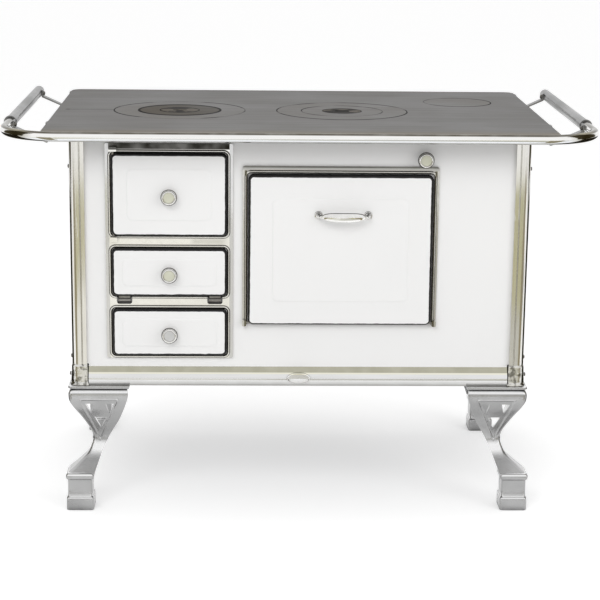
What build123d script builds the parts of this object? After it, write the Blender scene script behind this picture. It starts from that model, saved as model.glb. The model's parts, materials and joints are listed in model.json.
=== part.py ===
from build123d import *
import os
from math import cos, radians, sin

os.makedirs("parts", exist_ok=True)

# A wood-burning cookstove. Millimetres, +Z up, the floor at Z = 0, the front looking along -Y.
# X = 0 is the middle of the cooking plate, Y = 0 the middle of the whole depth.

# ---- Whole stove ----
plate_height = 772.0
plate_overhang = 50.0
plate_back_overhang = 84.0
plate_side_overhang = 49.0
body_width = 902.0
body_depth = 550.0
leg_height = 258.0
sheet = 1.5

# ---- Cooking plate and its lids ----
plate_thickness = 6.0
plate_rim_depth = 18.0
plate_rim_wall = 5.0
plate_corner_radius = 14.0
plate_back_radius = 22.0
plate_edge_radius = 1.5
boss_depth = 6.0
boss_wall = 6.0
burner_setback = 282.0
left_burner_shift = 11.0
middle_burner_shift = 14.0
ring_radius = 136.0
inner_ring_radius = 84.5
cap_radius = 40.5
lid_flange = 3.0
lid_thickness = 7.0
lid_step = 6.0
lid_gap = 0.6
lifter_length = 30.0
lifter_width = 9.0
lifter_depth = 4.0
slot_width = 1.6
slot_end_margin = 30.0
flue_side_inset = 99.0
flue_back_inset = 110.0
flue_cover_radius = 73.0
flue_bore_radius = 64.0
flue_spigot_depth = 22.0
flue_spigot_wall = 3.0

# ---- Towel rail round the plate ----
rail_radius = 9.5
rail_wall = 1.5
rail_reach = 74.5
rail_side_reach = 77.0
rail_drop = 6.0
rail_bend_radius = 115.0
rail_joint_inset = 145.0
rail_plug_length = 24.0
rail_plug_gap = 0.1
side_tube_radius = 11.5
side_tube_start = 122.0
side_tube_overrun = 10.0
tube_overlap = 30.0
tube_seam_width = 1.6
tube_seam_margin = 30.0
tube_seam_angle = 25.0
collar_radius = 13.0
collar_length = 8.0
cap_thickness = 2.0
strap_width = 20.0
strap_thickness = 3.0
strap_front_setback = 96.0
strap_back_margin = 44.0
strap_tab_height = 16.0
strap_drop = 24.0
bolt_head_radius = 4.4
bolt_head_height = 4.0
bolt_dome = 1.6
left_stay_x = -93.0
right_stay_shift = 8.0

# ---- Body shell ----
post_size = 30.0
post_proud = 7.0
post_wall = 2.0
post_corner_radius = 13.0
post_flute_radius = 1.4
boot_height = 43.0
boot_wall = 3.0
boot_floor = 4.0
boot_gap = 0.2
skirt_height = 38.0
skirt_reach = 10.0
skirt_upper_band = 12.0
skirt_lip_reach = 6.0
base_thickness = 2.0
top_frame_depth = 22.0
top_frame_flange = 18.0
top_frame_wall = 2.0
screw_radius = 4.0
screw_reach = 2.5
screw_dome = 1.2
upper_screw_drop = 75.0
lower_screw_rise = 58.0
badge_width = 47.0
badge_height = 25.0
badge_depth = 3.0
badge_lift = 4.0
badge_edge = 1.2

# ---- Doors on the left: firebox, draught flap and ash drawer ----
column_inset = 195.0
opening_width = 230.0
opening_corner_radius = 9.0
column_foot = 57.0
drawer_opening_height = 99.0
flap_bar_height = 22.0
flap_opening_height = 100.0
fire_bar_height = 21.0
column_head = 16.0
column_side = 9.5
column_sill = 4.0
frame_thickness = 4.0
frame_corner_radius = 3.0
bead_width = 2.5
bead_reach = 3.0
bead_edge = 0.8
door_gap = 2.0
leaf_back_gap = 1.5
leaf_depth = 11.5
leaf_wall = 1.5
leaf_edge_radius = 4.0
leaf_corner_radius = 11.0
field_margin = 24.0
field_rise = 1.0
field_taper = 45.0
liner_lap = 9.0
liner_sheet = 2.5
plug_reach = 7.0
plug_margin = 20.0
plug_taper = 8.0
pin_radius = 2.5
pin_fit = 0.05
pin_grip = 12.0
pin_end_gap = 1.0
knuckle_wall = 4.0
knuckle_width = 11.0
knuckle_depth = 10.0
knuckle_inset = 1.0
knuckle_corner_radius = 3.0
fire_pin_inset = 4.5
fire_pin_depth = 7.0
lug_width = 15.0
lug_height = 9.0
lug_gap = 3.0
lug_front = 6.5
lug_corner_radius = 2.0
notch_width = 30.0
notch_depth = 15.5
notch_radius = 5.0
notch_spacing = 178.0
flap_pin_drop = 9.0
flap_pin_depth = 1.5
flap_pin_radius = 2.0
flap_eye_radius = 4.2
cheek_thickness = 2.5
cheek_gap = 0.5
cheek_depth = 6.4
knob_radius = 16.0
knob_head_depth = 10.0
knob_edge = 2.0
knob_stem_radius = 6.0
knob_stem_length = 9.0
knob_dish_radius = 11.0
knob_dish_depth = 0.8
knob_drop = 3.0
drawer_length = 400.0
drawer_side_gap = 6.0
drawer_height = 71.0
drawer_lift = 2.3
runner_gap = 0.3
runner_width = 18.0
runner_guide = 18.0
runner_wall = 2.0

# ---- Oven ----
oven_spacing = 18.5
oven_leaf_width = 362.0
oven_leaf_foot = 127.0
oven_head_room = 80.0
oven_side_gap = 3.0
oven_frame_side = 8.0
oven_frame_head = 12.0
oven_pin_rise = 4.0
oven_pin_depth = 6.5
oven_foot_height = 12.0
oven_foot_drop = 7.2
oven_frame_radius = 5.0
oven_foot_reach = 9.0
oven_lip = 13.0
oven_wall = 2.0
oven_back_room = 119.0
shelf_rise = 140.0
shelf_wire_size = 6.0
shelf_cross_size = 4.2
shelf_side_gap = 1.0
shelf_wire_count = 13
shelf_ledge = 8.0
shelf_margin = 12.0
handle_span = 97.0
handle_shift = 5.0
handle_drop = 80.0
handle_reach = 26.0
handle_boss_radius = 8.5
handle_boss_height = 2.5
handle_collar_radius = 5.5
handle_collar_height = 5.0
handle_edge = 0.8
handle_neck_radius = 3.2
handle_neck_bend = 10.0
handle_grip_length = 86.0
handle_grip_height = 19.0
handle_grip_thickness = 7.0
handle_grip_bow = 8.0

# ---- Damper ----
damper_shift = 164.0
damper_rise = 15.0
damper_rod_radius = 4.0
damper_fit = 0.06
bush_radius = 8.0
bush_length = 14.0
damper_port_length = 70.0
damper_port_width = 100.0
damper_lap = 6.0
damper_plate_thickness = 3.0
damper_tab_thickness = 4.0
shelf_sheet = 2.0
shelf_lap = 30.0

# ---- Firebox ----
firebox_wall = 6.0
firebox_back_room = 81.0
firebox_side_lap = 4.0
mouth_margin = 8.0
grate_width = 170.0
grate_length = 300.0
grate_ledge = 8.0
grate_depth = 14.0
grate_bar_width = 8.0
grate_bar_count = 9
chute_wall = 3.0
chute_drop = 14.0

# ---- Legs ----
leg_corner_reach = 4.0
leg_lip_height = 10.0
leg_lip_width = 34.0
leg_lip_reach = 4.0
leg_arm_length = 118.0
leg_arm_thickness = 10.0
leg_ankle_height = 73.0
leg_ledge_top = 77.0
leg_ledge_bottom = 64.0
leg_ledge_outset = 11.0
leg_ledge_size = 56.0
leg_ledge_edge = 4.5
leg_ledge_radius = 7.0
leg_block_size = 49.0
leg_base_height = 28.0
leg_base_size = 54.5
leg_base_edge = 2.5
leg_foot_radius = 4.0
leg_foot_overlap = 3.0
leg_panel_inset = 58.0
leg_border_drop = 20.0
leg_border_half = 41.0
leg_border_height = 84.0
leg_border_width = 4.0
leg_border_rise = 1.5
pierce_drop = 28.0
pierce_spread = 12.0
pierce_width = 15.5
pierce_height = 18.0
pierce_tip = 18.0
lower_pierce_gap = 16.0
lower_pierce_half = 8.5
leg_neck_inset = 3.0
leg_hip_inset = 17.0
leg_thigh_inset = 38.0
leg_waist_inset = 41.0
leg_shin_inset = 30.0
leg_heel_inset = 4.0
leg_ankle_outset = 10.0
# The leg's outer edge: inset from its corner, and share of the rise from the ankle to the lip.
leg_outer_edge = (
    (0.0, 1.0),
    (leg_neck_inset, 0.87),
    (leg_hip_inset, 0.67),
    (leg_thigh_inset, 0.45),
    (leg_waist_inset, 0.37),
    (leg_shin_inset, 0.22),
    (leg_heel_inset, 0.115),
    (-leg_ankle_outset, 0.0),
)
# The leg's inner edge: share of the arm's length, and share of the same rise.
leg_inner_edge = ((0.97, 1.0), (0.935, 0.79), (0.805, 0.6), (0.52, 0.24), (0.38, 0.0))
leg_bolt_radius = 4.0
leg_bolt_fit = 0.3
leg_bolt_inset = 20.0
leg_bolt_reach = 62.0
leg_bolt_head_radius = 6.5
leg_bolt_head_height = 5.0

# ---- Levels and places worked out from the sizes above ----
plate_underside = plate_height - plate_thickness
plate_width = body_width + 2 * plate_side_overhang
plate_depth = plate_overhang + body_depth + plate_back_overhang
overall_depth = rail_reach + rail_radius - plate_overhang + plate_depth + side_tube_overrun
front_y = rail_reach + rail_radius - overall_depth / 2
back_y = front_y + body_depth
middle_y = (front_y + back_y) / 2
plate_front_y = front_y - plate_overhang
plate_back_y = plate_front_y + plate_depth
plate_middle_y = (plate_front_y + plate_back_y) / 2
column_x = column_inset - body_width / 2
column_width = opening_width + 2 * column_side
oven_frame_half = oven_leaf_width / 2 + oven_side_gap + oven_frame_side
oven_x = column_x + column_width / 2 + oven_spacing + oven_frame_half
damper_x = oven_x + damper_shift
burner_y = front_y + burner_setback
burner_xs = {"left": column_x + left_burner_shift, "middle": oven_x + middle_burner_shift}
flue_x = body_width / 2 - flue_side_inset
flue_y = back_y - flue_back_inset

post_x = body_width / 2 - post_size / 2
post_y = front_y - post_proud + post_size / 2
side_face_x = body_width / 2 - post_proud
panel_half_width = body_width / 2 - post_size
skirt_top = leg_height + skirt_height
inner_front_y = front_y + sheet
inner_back_y = back_y - sheet
oven_length = inner_back_y - inner_front_y - oven_back_room


def facing(y):
    # A sketch plane looking at the front: sketch X is X, sketch Y is Z, extruding goes to the front.
    return Plane.XZ.offset(-y)


def plate_outline():
    # The plate's outline in plan, with tighter corners at the front than at the back.
    with Locations((0, plate_middle_y)):
        Rectangle(plate_width, plate_depth)
    fillet(vertices().group_by(Axis.Y)[0], plate_corner_radius)
    fillet(vertices().group_by(Axis.Y)[-1], plate_back_radius)


# ================= Cooking plate =================
with BuildPart() as top_plate:
    with BuildSketch(Plane.XY.offset(plate_underside)):
        plate_outline()
    extrude(amount=plate_thickness)
    fillet(top_plate.faces().sort_by(Axis.Z)[-1].edges(), plate_edge_radius)
    with BuildSketch(Plane.XY.offset(plate_height - plate_rim_depth)):
        plate_outline()
        offset(amount=-plate_rim_wall, mode=Mode.SUBTRACT)
    extrude(amount=plate_rim_depth - plate_thickness)
    # Cast bosses that stiffen the seats of the lids.
    with BuildSketch(Plane.XY.offset(plate_underside - boss_depth)):
        with Locations(*[(x, burner_y) for x in burner_xs.values()]):
            Circle(ring_radius + boss_wall)
        with Locations((flue_x, flue_y)):
            Circle(flue_cover_radius + boss_wall)
    extrude(amount=boss_depth)
    # The spigot under the plate that takes the flue pipe.
    with BuildSketch(Plane.XY.offset(plate_underside - flue_spigot_depth)):
        with Locations((flue_x, flue_y)):
            Circle(flue_bore_radius + flue_spigot_wall)
    extrude(amount=flue_spigot_depth)
    with Locations(*[(x, burner_y, plate_height) for x in burner_xs.values()]):
        CounterBoreHole(ring_radius - lid_step, ring_radius + lid_gap, lid_flange)
    with Locations((flue_x, flue_y, plate_height)):
        CounterBoreHole(flue_bore_radius, flue_cover_radius + lid_gap, lid_flange)
    # The expansion slot from the left seat towards the plate's left edge.
    slot_start_x = burner_xs["left"] - ring_radius + 2 * lid_step
    slot_end_x = -plate_width / 2 + slot_end_margin
    with BuildSketch(Plane.XY.offset(plate_height)):
        with Locations(((slot_start_x + slot_end_x) / 2, burner_y)):
            Rectangle(slot_start_x - slot_end_x, slot_width)
    extrude(amount=-plate_thickness - boss_depth, mode=Mode.SUBTRACT)
top_plate.part.label = "top_plate"
export_step(top_plate.part, "parts/top_plate.step")

for burner_name, burner_x in burner_xs.items():
    with BuildPart() as outer_ring:
        with BuildSketch(Plane.XY.offset(plate_height - lid_flange)):
            with Locations((burner_x, burner_y)):
                Circle(ring_radius)
        extrude(amount=lid_flange)
        with BuildSketch(Plane.XY.offset(plate_height - lid_thickness)):
            with Locations((burner_x, burner_y)):
                Circle(ring_radius - lid_step - lid_gap)
        extrude(amount=lid_thickness)
        with Locations((burner_x, burner_y, plate_height)):
            CounterBoreHole(inner_ring_radius - lid_step, inner_ring_radius + lid_gap, lid_flange)
    outer_ring.part.label = f"{burner_name}_outer_ring"
    export_step(outer_ring.part, f"parts/{burner_name}_outer_ring.step")

    with BuildPart() as inner_ring:
        with BuildSketch(Plane.XY.offset(plate_height - lid_flange)):
            with Locations((burner_x, burner_y)):
                Circle(inner_ring_radius)
        extrude(amount=lid_flange)
        with BuildSketch(Plane.XY.offset(plate_height - lid_thickness)):
            with Locations((burner_x, burner_y)):
                Circle(inner_ring_radius - lid_step - lid_gap)
        extrude(amount=lid_thickness)
        with Locations((burner_x, burner_y, plate_height)):
            CounterBoreHole(cap_radius - lid_step, cap_radius + lid_gap, lid_flange)
    inner_ring.part.label = f"{burner_name}_inner_ring"
    export_step(inner_ring.part, f"parts/{burner_name}_inner_ring.step")

    with BuildPart() as burner_cap:
        with BuildSketch(Plane.XY.offset(plate_height - lid_flange)):
            with Locations((burner_x, burner_y)):
                Circle(cap_radius)
        extrude(amount=lid_flange)
        with BuildSketch(Plane.XY.offset(plate_height - lid_thickness)):
            with Locations((burner_x, burner_y)):
                Circle(cap_radius - lid_step - lid_gap)
        extrude(amount=lid_thickness)
        # The socket for the lid lifter.
        with BuildSketch(Plane.XY.offset(plate_height)):
            with Locations((burner_x, burner_y)):
                SlotOverall(lifter_length, lifter_width)
        extrude(amount=-lifter_depth, mode=Mode.SUBTRACT)
    burner_cap.part.label = f"{burner_name}_cap"
    export_step(burner_cap.part, f"parts/{burner_name}_cap.step")

with BuildPart() as flue_cover:
    with BuildSketch(Plane.XY.offset(plate_height - lid_flange)):
        with Locations((flue_x, flue_y)):
            Circle(flue_cover_radius)
    extrude(amount=lid_flange)
    with BuildSketch(Plane.XY.offset(plate_height - lid_thickness)):
        with Locations((flue_x, flue_y)):
            Circle(flue_bore_radius - lid_gap)
    extrude(amount=lid_thickness)
flue_cover.part.label = "flue_cover"
export_step(flue_cover.part, "parts/flue_cover.step")

# ================= Towel rail =================
rail_z = plate_height - rail_drop
rail_x = plate_width / 2 + rail_side_reach
rail_joint_x = plate_width / 2 - rail_joint_inset
rail_y = front_y - rail_reach
tube_start_y = front_y + side_tube_start
tube_end_y = plate_back_y + side_tube_overrun

with BuildPart() as rail_front:
    with BuildSketch(Plane.YZ.offset(-rail_joint_x)):
        with Locations((rail_y, rail_z)):
            Circle(rail_radius)
            Circle(rail_radius - rail_wall, mode=Mode.SUBTRACT)
    extrude(amount=2 * rail_joint_x)
rail_front.part.label = "rail_front"
export_step(rail_front.part, "parts/rail_front.step")

for side_name, side in (("left", -1), ("right", 1)):
    # The bent corner: a plug inside the front tube, a quarter bend, and a run inside the side tube.
    with BuildPart() as rail_corner:
        with BuildLine() as corner_path:
            front_run = Line(
                (side * rail_joint_x, rail_y, rail_z),
                (side * (rail_x - rail_bend_radius), rail_y, rail_z),
            )
            bend = RadiusArc(
                front_run @ 1,
                (side * rail_x, rail_y + rail_bend_radius, rail_z),
                -side * rail_bend_radius,
            )
            Line(bend @ 1, (side * rail_x, tube_start_y + tube_overlap, rail_z))
        with BuildSketch(Plane(origin=corner_path.line @ 0, z_dir=corner_path.line % 0)):
            Circle(rail_radius)
            Circle(rail_radius - rail_wall, mode=Mode.SUBTRACT)
        sweep(path=corner_path.line)
        with BuildSketch(Plane.YZ.offset(side * (rail_joint_x - rail_plug_length))):
            with Locations((rail_y, rail_z)):
                Circle(rail_radius - rail_wall - rail_plug_gap)
        extrude(amount=side * rail_plug_length)
        with BuildSketch(Plane.YZ.offset(side * rail_joint_x)):
            with Locations((rail_y, rail_z)):
                Circle(rail_radius - rail_wall)
        extrude(amount=side * rail_plug_length)
    rail_corner.part.label = f"rail_corner_{side_name}"
    export_step(rail_corner.part, f"parts/rail_corner_{side_name}.step")

    # The rolled side tube with its open seam, its collar and its end cap.
    with BuildPart() as rail_side:
        with BuildSketch(facing(tube_end_y)):
            with Locations((side * rail_x, rail_z)):
                Circle(side_tube_radius)
        extrude(amount=tube_end_y - tube_start_y)
        with BuildSketch(facing(tube_start_y + collar_length)):
            with Locations((side * rail_x, rail_z)):
                Circle(collar_radius)
        extrude(amount=collar_length)
        with BuildSketch(facing(tube_end_y - cap_thickness)):
            with Locations((side * rail_x, rail_z)):
                Circle(side_tube_radius - rail_wall)
        extrude(amount=tube_end_y - tube_start_y, mode=Mode.SUBTRACT)
        seam_length = tube_end_y - tube_start_y - tube_overlap - 2 * tube_seam_margin
        seam_plane = Plane(
            origin=(side * rail_x, tube_start_y + tube_overlap + tube_seam_margin, rail_z),
            x_dir=(-side * cos(radians(tube_seam_angle)), 0, sin(radians(tube_seam_angle))),
            z_dir=(0, 1, 0),
        )
        with BuildSketch(seam_plane):
            with Locations((side_tube_radius, 0)):
                Rectangle(2 * rail_wall, tube_seam_width)
        extrude(amount=seam_length, mode=Mode.SUBTRACT)
    rail_side.part.label = f"rail_side_{side_name}"
    export_step(rail_side.part, f"parts/rail_side_{side_name}.step")

# Straps from the side tubes down to the plate's rim (a tab on the tube, a slope, a tab on the rim),
# and short stays from the rim to the front tube.
strap_ys = (front_y + strap_front_setback, tube_end_y - strap_back_margin)
rim_tab_z = plate_height - plate_rim_depth + strap_tab_height / 2 + plate_edge_radius / 2
rim_tab_top = rim_tab_z + strap_tab_height / 2
rim_tab_bottom = rim_tab_z - strap_tab_height / 2 - strap_drop
tube_tab_bottom = rail_z - strap_tab_height / 2
tube_tab_top = rail_z + strap_tab_height / 2
with BuildPart() as rail_straps:
    for side in (-1, 1):
        for strap_y, strap_tube_radius in zip(strap_ys, (rail_radius, side_tube_radius)):
            tube_face = side * (rail_x - strap_tube_radius)
            tube_tab = tube_face - side * strap_thickness
            rim_face = side * plate_width / 2
            rim_tab = rim_face + side * strap_thickness
            with BuildSketch(facing(strap_y + strap_width / 2)):
                with BuildLine():
                    Polyline(
                        (tube_face, tube_tab_top),
                        (tube_face, tube_tab_bottom),
                        (rim_tab, rim_tab_bottom),
                        (rim_face, rim_tab_bottom),
                        (rim_face, rim_tab_top),
                        (rim_tab, rim_tab_top),
                        (rim_tab, rim_tab_bottom + strap_thickness),
                        (tube_tab, tube_tab_bottom + strap_thickness),
                        (tube_tab, tube_tab_top),
                        close=True,
                    )
                make_face()
            extrude(amount=strap_width)
    for stay_x in (left_stay_x, rail_joint_x + right_stay_shift):
        with BuildSketch(Plane.YZ.offset(stay_x - strap_width / 2)):
            with Locations(((rail_y + rail_radius + plate_front_y) / 2, rail_z)):
                Rectangle(plate_front_y - rail_y - rail_radius, strap_thickness)
            with Locations((plate_front_y - strap_thickness / 2, rail_z - strap_tab_height / 4)):
                Rectangle(strap_thickness, strap_tab_height / 2)
        extrude(amount=strap_width)
rail_straps.part.label = "rail_straps"
export_step(rail_straps.part, "parts/rail_straps.step")

# ================= Corner posts and boots =================
corner_signs = {
    "front_left": (-1, -1),
    "front_right": (1, -1),
    "back_left": (-1, 1),
    "back_right": (1, 1),
}


def post_outline(growth):
    # The post's section in plan for the front left corner, with a round outer corner.
    with Locations((-post_x, post_y)):
        Rectangle(post_size + 2 * growth, post_size + 2 * growth)
    fillet(
        vertices().sort_by(Axis.X)[:2].sort_by(Axis.Y)[:1],
        post_corner_radius + growth,
    )


with BuildPart() as post_shape:
    with BuildSketch(Plane.XY.offset(leg_height + boot_floor)):
        post_outline(0)
        # Flutes along both show faces set off the round corner from the flat lip.
        flute_line = post_size / 2 - post_corner_radius + 2 * post_wall
        with Locations(
            (-post_x + flute_line, post_y - post_size / 2),
            (-post_x - post_size / 2, post_y + flute_line),
        ):
            Circle(post_flute_radius, mode=Mode.SUBTRACT)
        with Locations((-post_x, post_y)):
            RectangleRounded(
                post_size - 2 * post_wall - 2 * post_flute_radius,
                post_size - 2 * post_wall - 2 * post_flute_radius,
                post_corner_radius - post_wall - 2 * post_flute_radius,
                mode=Mode.SUBTRACT,
            )
    extrude(amount=plate_underside - leg_height - boot_floor)

with BuildPart() as boot_shape:
    with BuildSketch(Plane.XY.offset(leg_height)) as boot_bottom:
        post_outline(boot_wall)
    extrude(amount=boot_height)
    chamfer(boot_shape.faces().sort_by(Axis.Z)[-1].edges(), boot_wall * 0.8)
    with BuildSketch(Plane.XY.offset(leg_height + boot_floor)):
        post_outline(boot_gap)
    extrude(amount=boot_height, mode=Mode.SUBTRACT)


def at_corner(shape, signs):
    # A copy of the front left corner's shape at another corner of the body.
    placed = shape
    if signs[0] > 0:
        placed = mirror(placed, about=Plane.YZ, mode=Mode.PRIVATE)
    if signs[1] > 0:
        placed = mirror(placed, about=Plane.XZ.offset(-middle_y), mode=Mode.PRIVATE)
    return placed


for corner_name, signs in corner_signs.items():
    with BuildPart() as corner_post:
        add(at_corner(post_shape.part, signs))
    corner_post.part.label = f"post_{corner_name}"
    export_step(corner_post.part, f"parts/post_{corner_name}.step")

with BuildPart() as post_boots:
    for signs in corner_signs.values():
        add(at_corner(boot_shape.part, signs))
post_boots.part.label = "post_boots"
export_step(post_boots.part, "parts/post_boots.step")

# Dome-headed screws on the outer sides of the posts and boots.
screw_levels = {
    plate_height - upper_screw_drop: body_width / 2,
    leg_height + lower_screw_rise: body_width / 2,
    leg_height + boot_height / 2: body_width / 2 + boot_wall,
}
with BuildPart() as post_screws:
    for side in (-1, 1):
        for screw_y in (post_y, back_y - (post_y - front_y)):
            for screw_z, face_x in screw_levels.items():
                with BuildSketch(Plane.YZ.offset(side * face_x)):
                    with Locations((screw_y, screw_z)):
                        Circle(screw_radius)
                dome = extrude(amount=side * screw_reach)
                chamfer(dome.faces().sort_by(Axis.X)[0 if side < 0 else -1].edges(), screw_dome)
post_screws.part.label = "post_screws"
export_step(post_screws.part, "parts/post_screws.step")

# ================= Doors: levels shared by the panel, the frame and the leaves =================
drawer_opening_bottom = leg_height + column_foot + column_sill
drawer_opening_top = drawer_opening_bottom + drawer_opening_height
flap_opening_bottom = drawer_opening_top + flap_bar_height
flap_opening_top = flap_opening_bottom + flap_opening_height
fire_opening_bottom = flap_opening_top + fire_bar_height
column_bottom = drawer_opening_bottom - column_sill
column_top = plate_underside - top_frame_depth
fire_opening_top = column_top - column_head
leaf_width = opening_width - 2 * door_gap
door_levels = {
    "drawer": (drawer_opening_bottom, drawer_opening_top),
    "flap": (flap_opening_bottom, flap_opening_top),
    "fire": (fire_opening_bottom, fire_opening_top),
}
leaf_back_y = front_y - leaf_back_gap
leaf_front_y = leaf_back_y - leaf_depth
panel_gap_width = opening_width - 2 * plug_reach
oven_leaf_bottom = leg_height + oven_leaf_foot
oven_leaf_top = plate_underside - oven_head_room
oven_middle_z = (oven_leaf_bottom + oven_leaf_top) / 2
oven_gap_width = oven_leaf_width - 2 * oven_lip
oven_gap_height = oven_leaf_top - oven_leaf_bottom - 2 * oven_lip
damper_z = oven_leaf_top + oven_side_gap + oven_frame_head + damper_rise

# ================= Body panels =================
corner_clear = boot_wall + boot_gap
with BuildPart() as front_panel:
    with BuildSketch(facing(front_y)):
        with Locations((0, (leg_height + plate_underside) / 2)):
            Rectangle(2 * panel_half_width, plate_underside - leg_height)
        for side in (-1, 1):
            with Locations((side * panel_half_width, leg_height)):
                Rectangle(
                    2 * corner_clear,
                    2 * (leg_height + boot_height + boot_gap - leg_height),
                    mode=Mode.SUBTRACT,
                )
        column_gap_bottom = drawer_opening_bottom + plug_reach
        column_gap_top = fire_opening_top - plug_reach
        with Locations((column_x, (column_gap_bottom + column_gap_top) / 2)):
            Rectangle(panel_gap_width, column_gap_top - column_gap_bottom, mode=Mode.SUBTRACT)
        with Locations((oven_x, oven_middle_z)):
            Rectangle(oven_gap_width, oven_gap_height, mode=Mode.SUBTRACT)
        with Locations((damper_x, damper_z)):
            Circle(bush_radius / 2 + damper_rod_radius / 2, mode=Mode.SUBTRACT)
    extrude(amount=-sheet)
front_panel.part.label = "front_panel"
export_step(front_panel.part, "parts/front_panel.step")

with BuildPart() as back_panel:
    with BuildSketch(facing(back_y)):
        with Locations((0, (leg_height + plate_underside) / 2)):
            Rectangle(2 * panel_half_width, plate_underside - leg_height)
        for side in (-1, 1):
            with Locations((side * panel_half_width, leg_height)):
                Rectangle(
                    2 * corner_clear,
                    2 * (leg_height + boot_height + boot_gap - leg_height),
                    mode=Mode.SUBTRACT,
                )
    extrude(amount=sheet)
back_panel.part.label = "back_panel"
export_step(back_panel.part, "parts/back_panel.step")

side_panel_length = body_depth - 2 * (post_size - post_proud)
for side_name, side in (("left", -1), ("right", 1)):
    with BuildPart() as side_panel:
        with BuildSketch(Plane.YZ.offset(side * side_face_x)):
            with Locations((middle_y, (leg_height + plate_underside) / 2)):
                Rectangle(side_panel_length, plate_underside - leg_height)
            for end in (-1, 1):
                with Locations((middle_y + end * side_panel_length / 2, leg_height)):
                    Rectangle(
                        2 * corner_clear,
                        2 * (leg_height + boot_height + boot_gap - leg_height),
                        mode=Mode.SUBTRACT,
                    )
        extrude(amount=-side * sheet)
    side_panel.part.label = f"side_panel_{side_name}"
    export_step(side_panel.part, f"parts/side_panel_{side_name}.step")

corner_square = post_size - post_proud + corner_clear
leg_corner_x = -(body_width / 2 + leg_corner_reach)
leg_corner_y = front_y - post_proud - leg_corner_reach
# Two bolts to a leg, one along each arm of its lip.
leg_bolt_spots = {
    corner_name: [
        (-side_x * (leg_corner_x + along_x), middle_y + side_y * (middle_y - leg_corner_y - along_y))
        for along_x, along_y in ((leg_bolt_reach, leg_bolt_inset), (leg_bolt_inset, leg_bolt_reach))
    ]
    for corner_name, (side_x, side_y) in corner_signs.items()
}
with BuildPart() as base_plate:
    with BuildSketch(Plane.XY.offset(leg_height)):
        with Locations((0, middle_y)):
            Rectangle(2 * (side_face_x - sheet), body_depth - 2 * sheet)
        for side in (-1, 1):
            for end_y in (front_y, back_y):
                with Locations((side * side_face_x, end_y)):
                    Rectangle(2 * corner_square, 2 * corner_square, mode=Mode.SUBTRACT)
        for spots in leg_bolt_spots.values():
            with Locations(*spots):
                Circle(leg_bolt_radius + leg_bolt_fit, mode=Mode.SUBTRACT)
    extrude(amount=base_thickness)
base_plate.part.label = "base_plate"
export_step(base_plate.part, "parts/base_plate.step")

# An angle frame inside the top of the body, which the plate rests on.
with BuildPart() as top_frame:
    frame_outer_x = panel_half_width - corner_clear
    frame_outer_y = body_depth - 2 * sheet
    with BuildSketch(Plane.XY.offset(plate_underside - top_frame_wall)):
        with Locations((0, middle_y)):
            Rectangle(2 * frame_outer_x, frame_outer_y)
            Rectangle(
                2 * (frame_outer_x - top_frame_flange),
                frame_outer_y - 2 * top_frame_flange,
                mode=Mode.SUBTRACT,
            )
    extrude(amount=top_frame_wall)
    with BuildSketch(Plane.XY.offset(plate_underside - top_frame_depth)):
        with Locations((0, middle_y)):
            Rectangle(2 * frame_outer_x, frame_outer_y)
            Rectangle(
                2 * (frame_outer_x - top_frame_wall),
                frame_outer_y - 2 * top_frame_wall,
                mode=Mode.SUBTRACT,
            )
    extrude(amount=top_frame_depth)
    # The frame stands clear of the flue seat.
    with Locations((flue_x, flue_y, plate_underside)):
        Hole(flue_cover_radius + boss_wall + lid_gap, top_frame_depth)
top_frame.part.label = "top_frame"
export_step(top_frame.part, "parts/top_frame.step")

# Domed bolts that hold the straps to the tubes, and hexagon bolts with nuts that hold the legs.
with BuildPart() as frame_bolts:
    for side in (-1, 1):
        for strap_y, strap_tube_radius in zip(strap_ys, (rail_radius, side_tube_radius)):
            head_x = side * (rail_x - strap_tube_radius - strap_thickness)
            with BuildSketch(Plane.YZ.offset(head_x)):
                with Locations((strap_y, rail_z)):
                    Circle(bolt_head_radius)
            head = extrude(amount=-side * bolt_head_height)
            chamfer(head.faces().sort_by(Axis.X)[-1 if side < 0 else 0].edges(), bolt_dome)
    lip_bottom = leg_height - leg_lip_height
    for spots in leg_bolt_spots.values():
        for level, reach, hexagonal in (
            (lip_bottom, -leg_bolt_head_height, True),
            (lip_bottom, leg_lip_height + base_thickness, False),
            (leg_height + base_thickness, leg_bolt_head_height, True),
        ):
            with BuildSketch(Plane.XY.offset(level)):
                with Locations(*spots):
                    if hexagonal:
                        RegularPolygon(leg_bolt_head_radius, 6)
                    else:
                        Circle(leg_bolt_radius)
            extrude(amount=reach)
frame_bolts.part.label = "frame_bolts"
export_step(frame_bolts.part, "parts/frame_bolts.step")

# ================= Skirt round the foot of the body =================
def skirt_section(face, outward):
    # A hollow rolled moulding: a sloping upper band over a convex lower band.
    with BuildLine() as section_edges:
        back = Line((face, leg_height), (face, skirt_top))
        band = Line(back @ 1, (face + outward * skirt_lip_reach, skirt_top - skirt_upper_band))
        ThreePointArc(
            band @ 1,
            (face + outward * skirt_reach, leg_height + (skirt_height - skirt_upper_band) / 2),
            (face + outward * skirt_lip_reach, leg_height),
        )
        Line((face + outward * skirt_lip_reach, leg_height), back @ 0)
    make_face(section_edges.edges())
    offset(amount=-sheet, kind=Kind.INTERSECTION, mode=Mode.SUBTRACT)


skirt_half_width = panel_half_width - corner_clear
skirt_half_length = side_panel_length / 2 - corner_clear
with BuildPart() as skirt:
    for face_y, outward in ((front_y, -1), (back_y, 1)):
        with BuildSketch(Plane.YZ.offset(-skirt_half_width)):
            skirt_section(face_y, outward)
        extrude(amount=2 * skirt_half_width)
    for side in (-1, 1):
        with BuildSketch(facing(middle_y + skirt_half_length)):
            skirt_section(side * side_face_x, side)
        extrude(amount=2 * skirt_half_length)
skirt.part.label = "skirt"
export_step(skirt.part, "parts/skirt.step")

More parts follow.
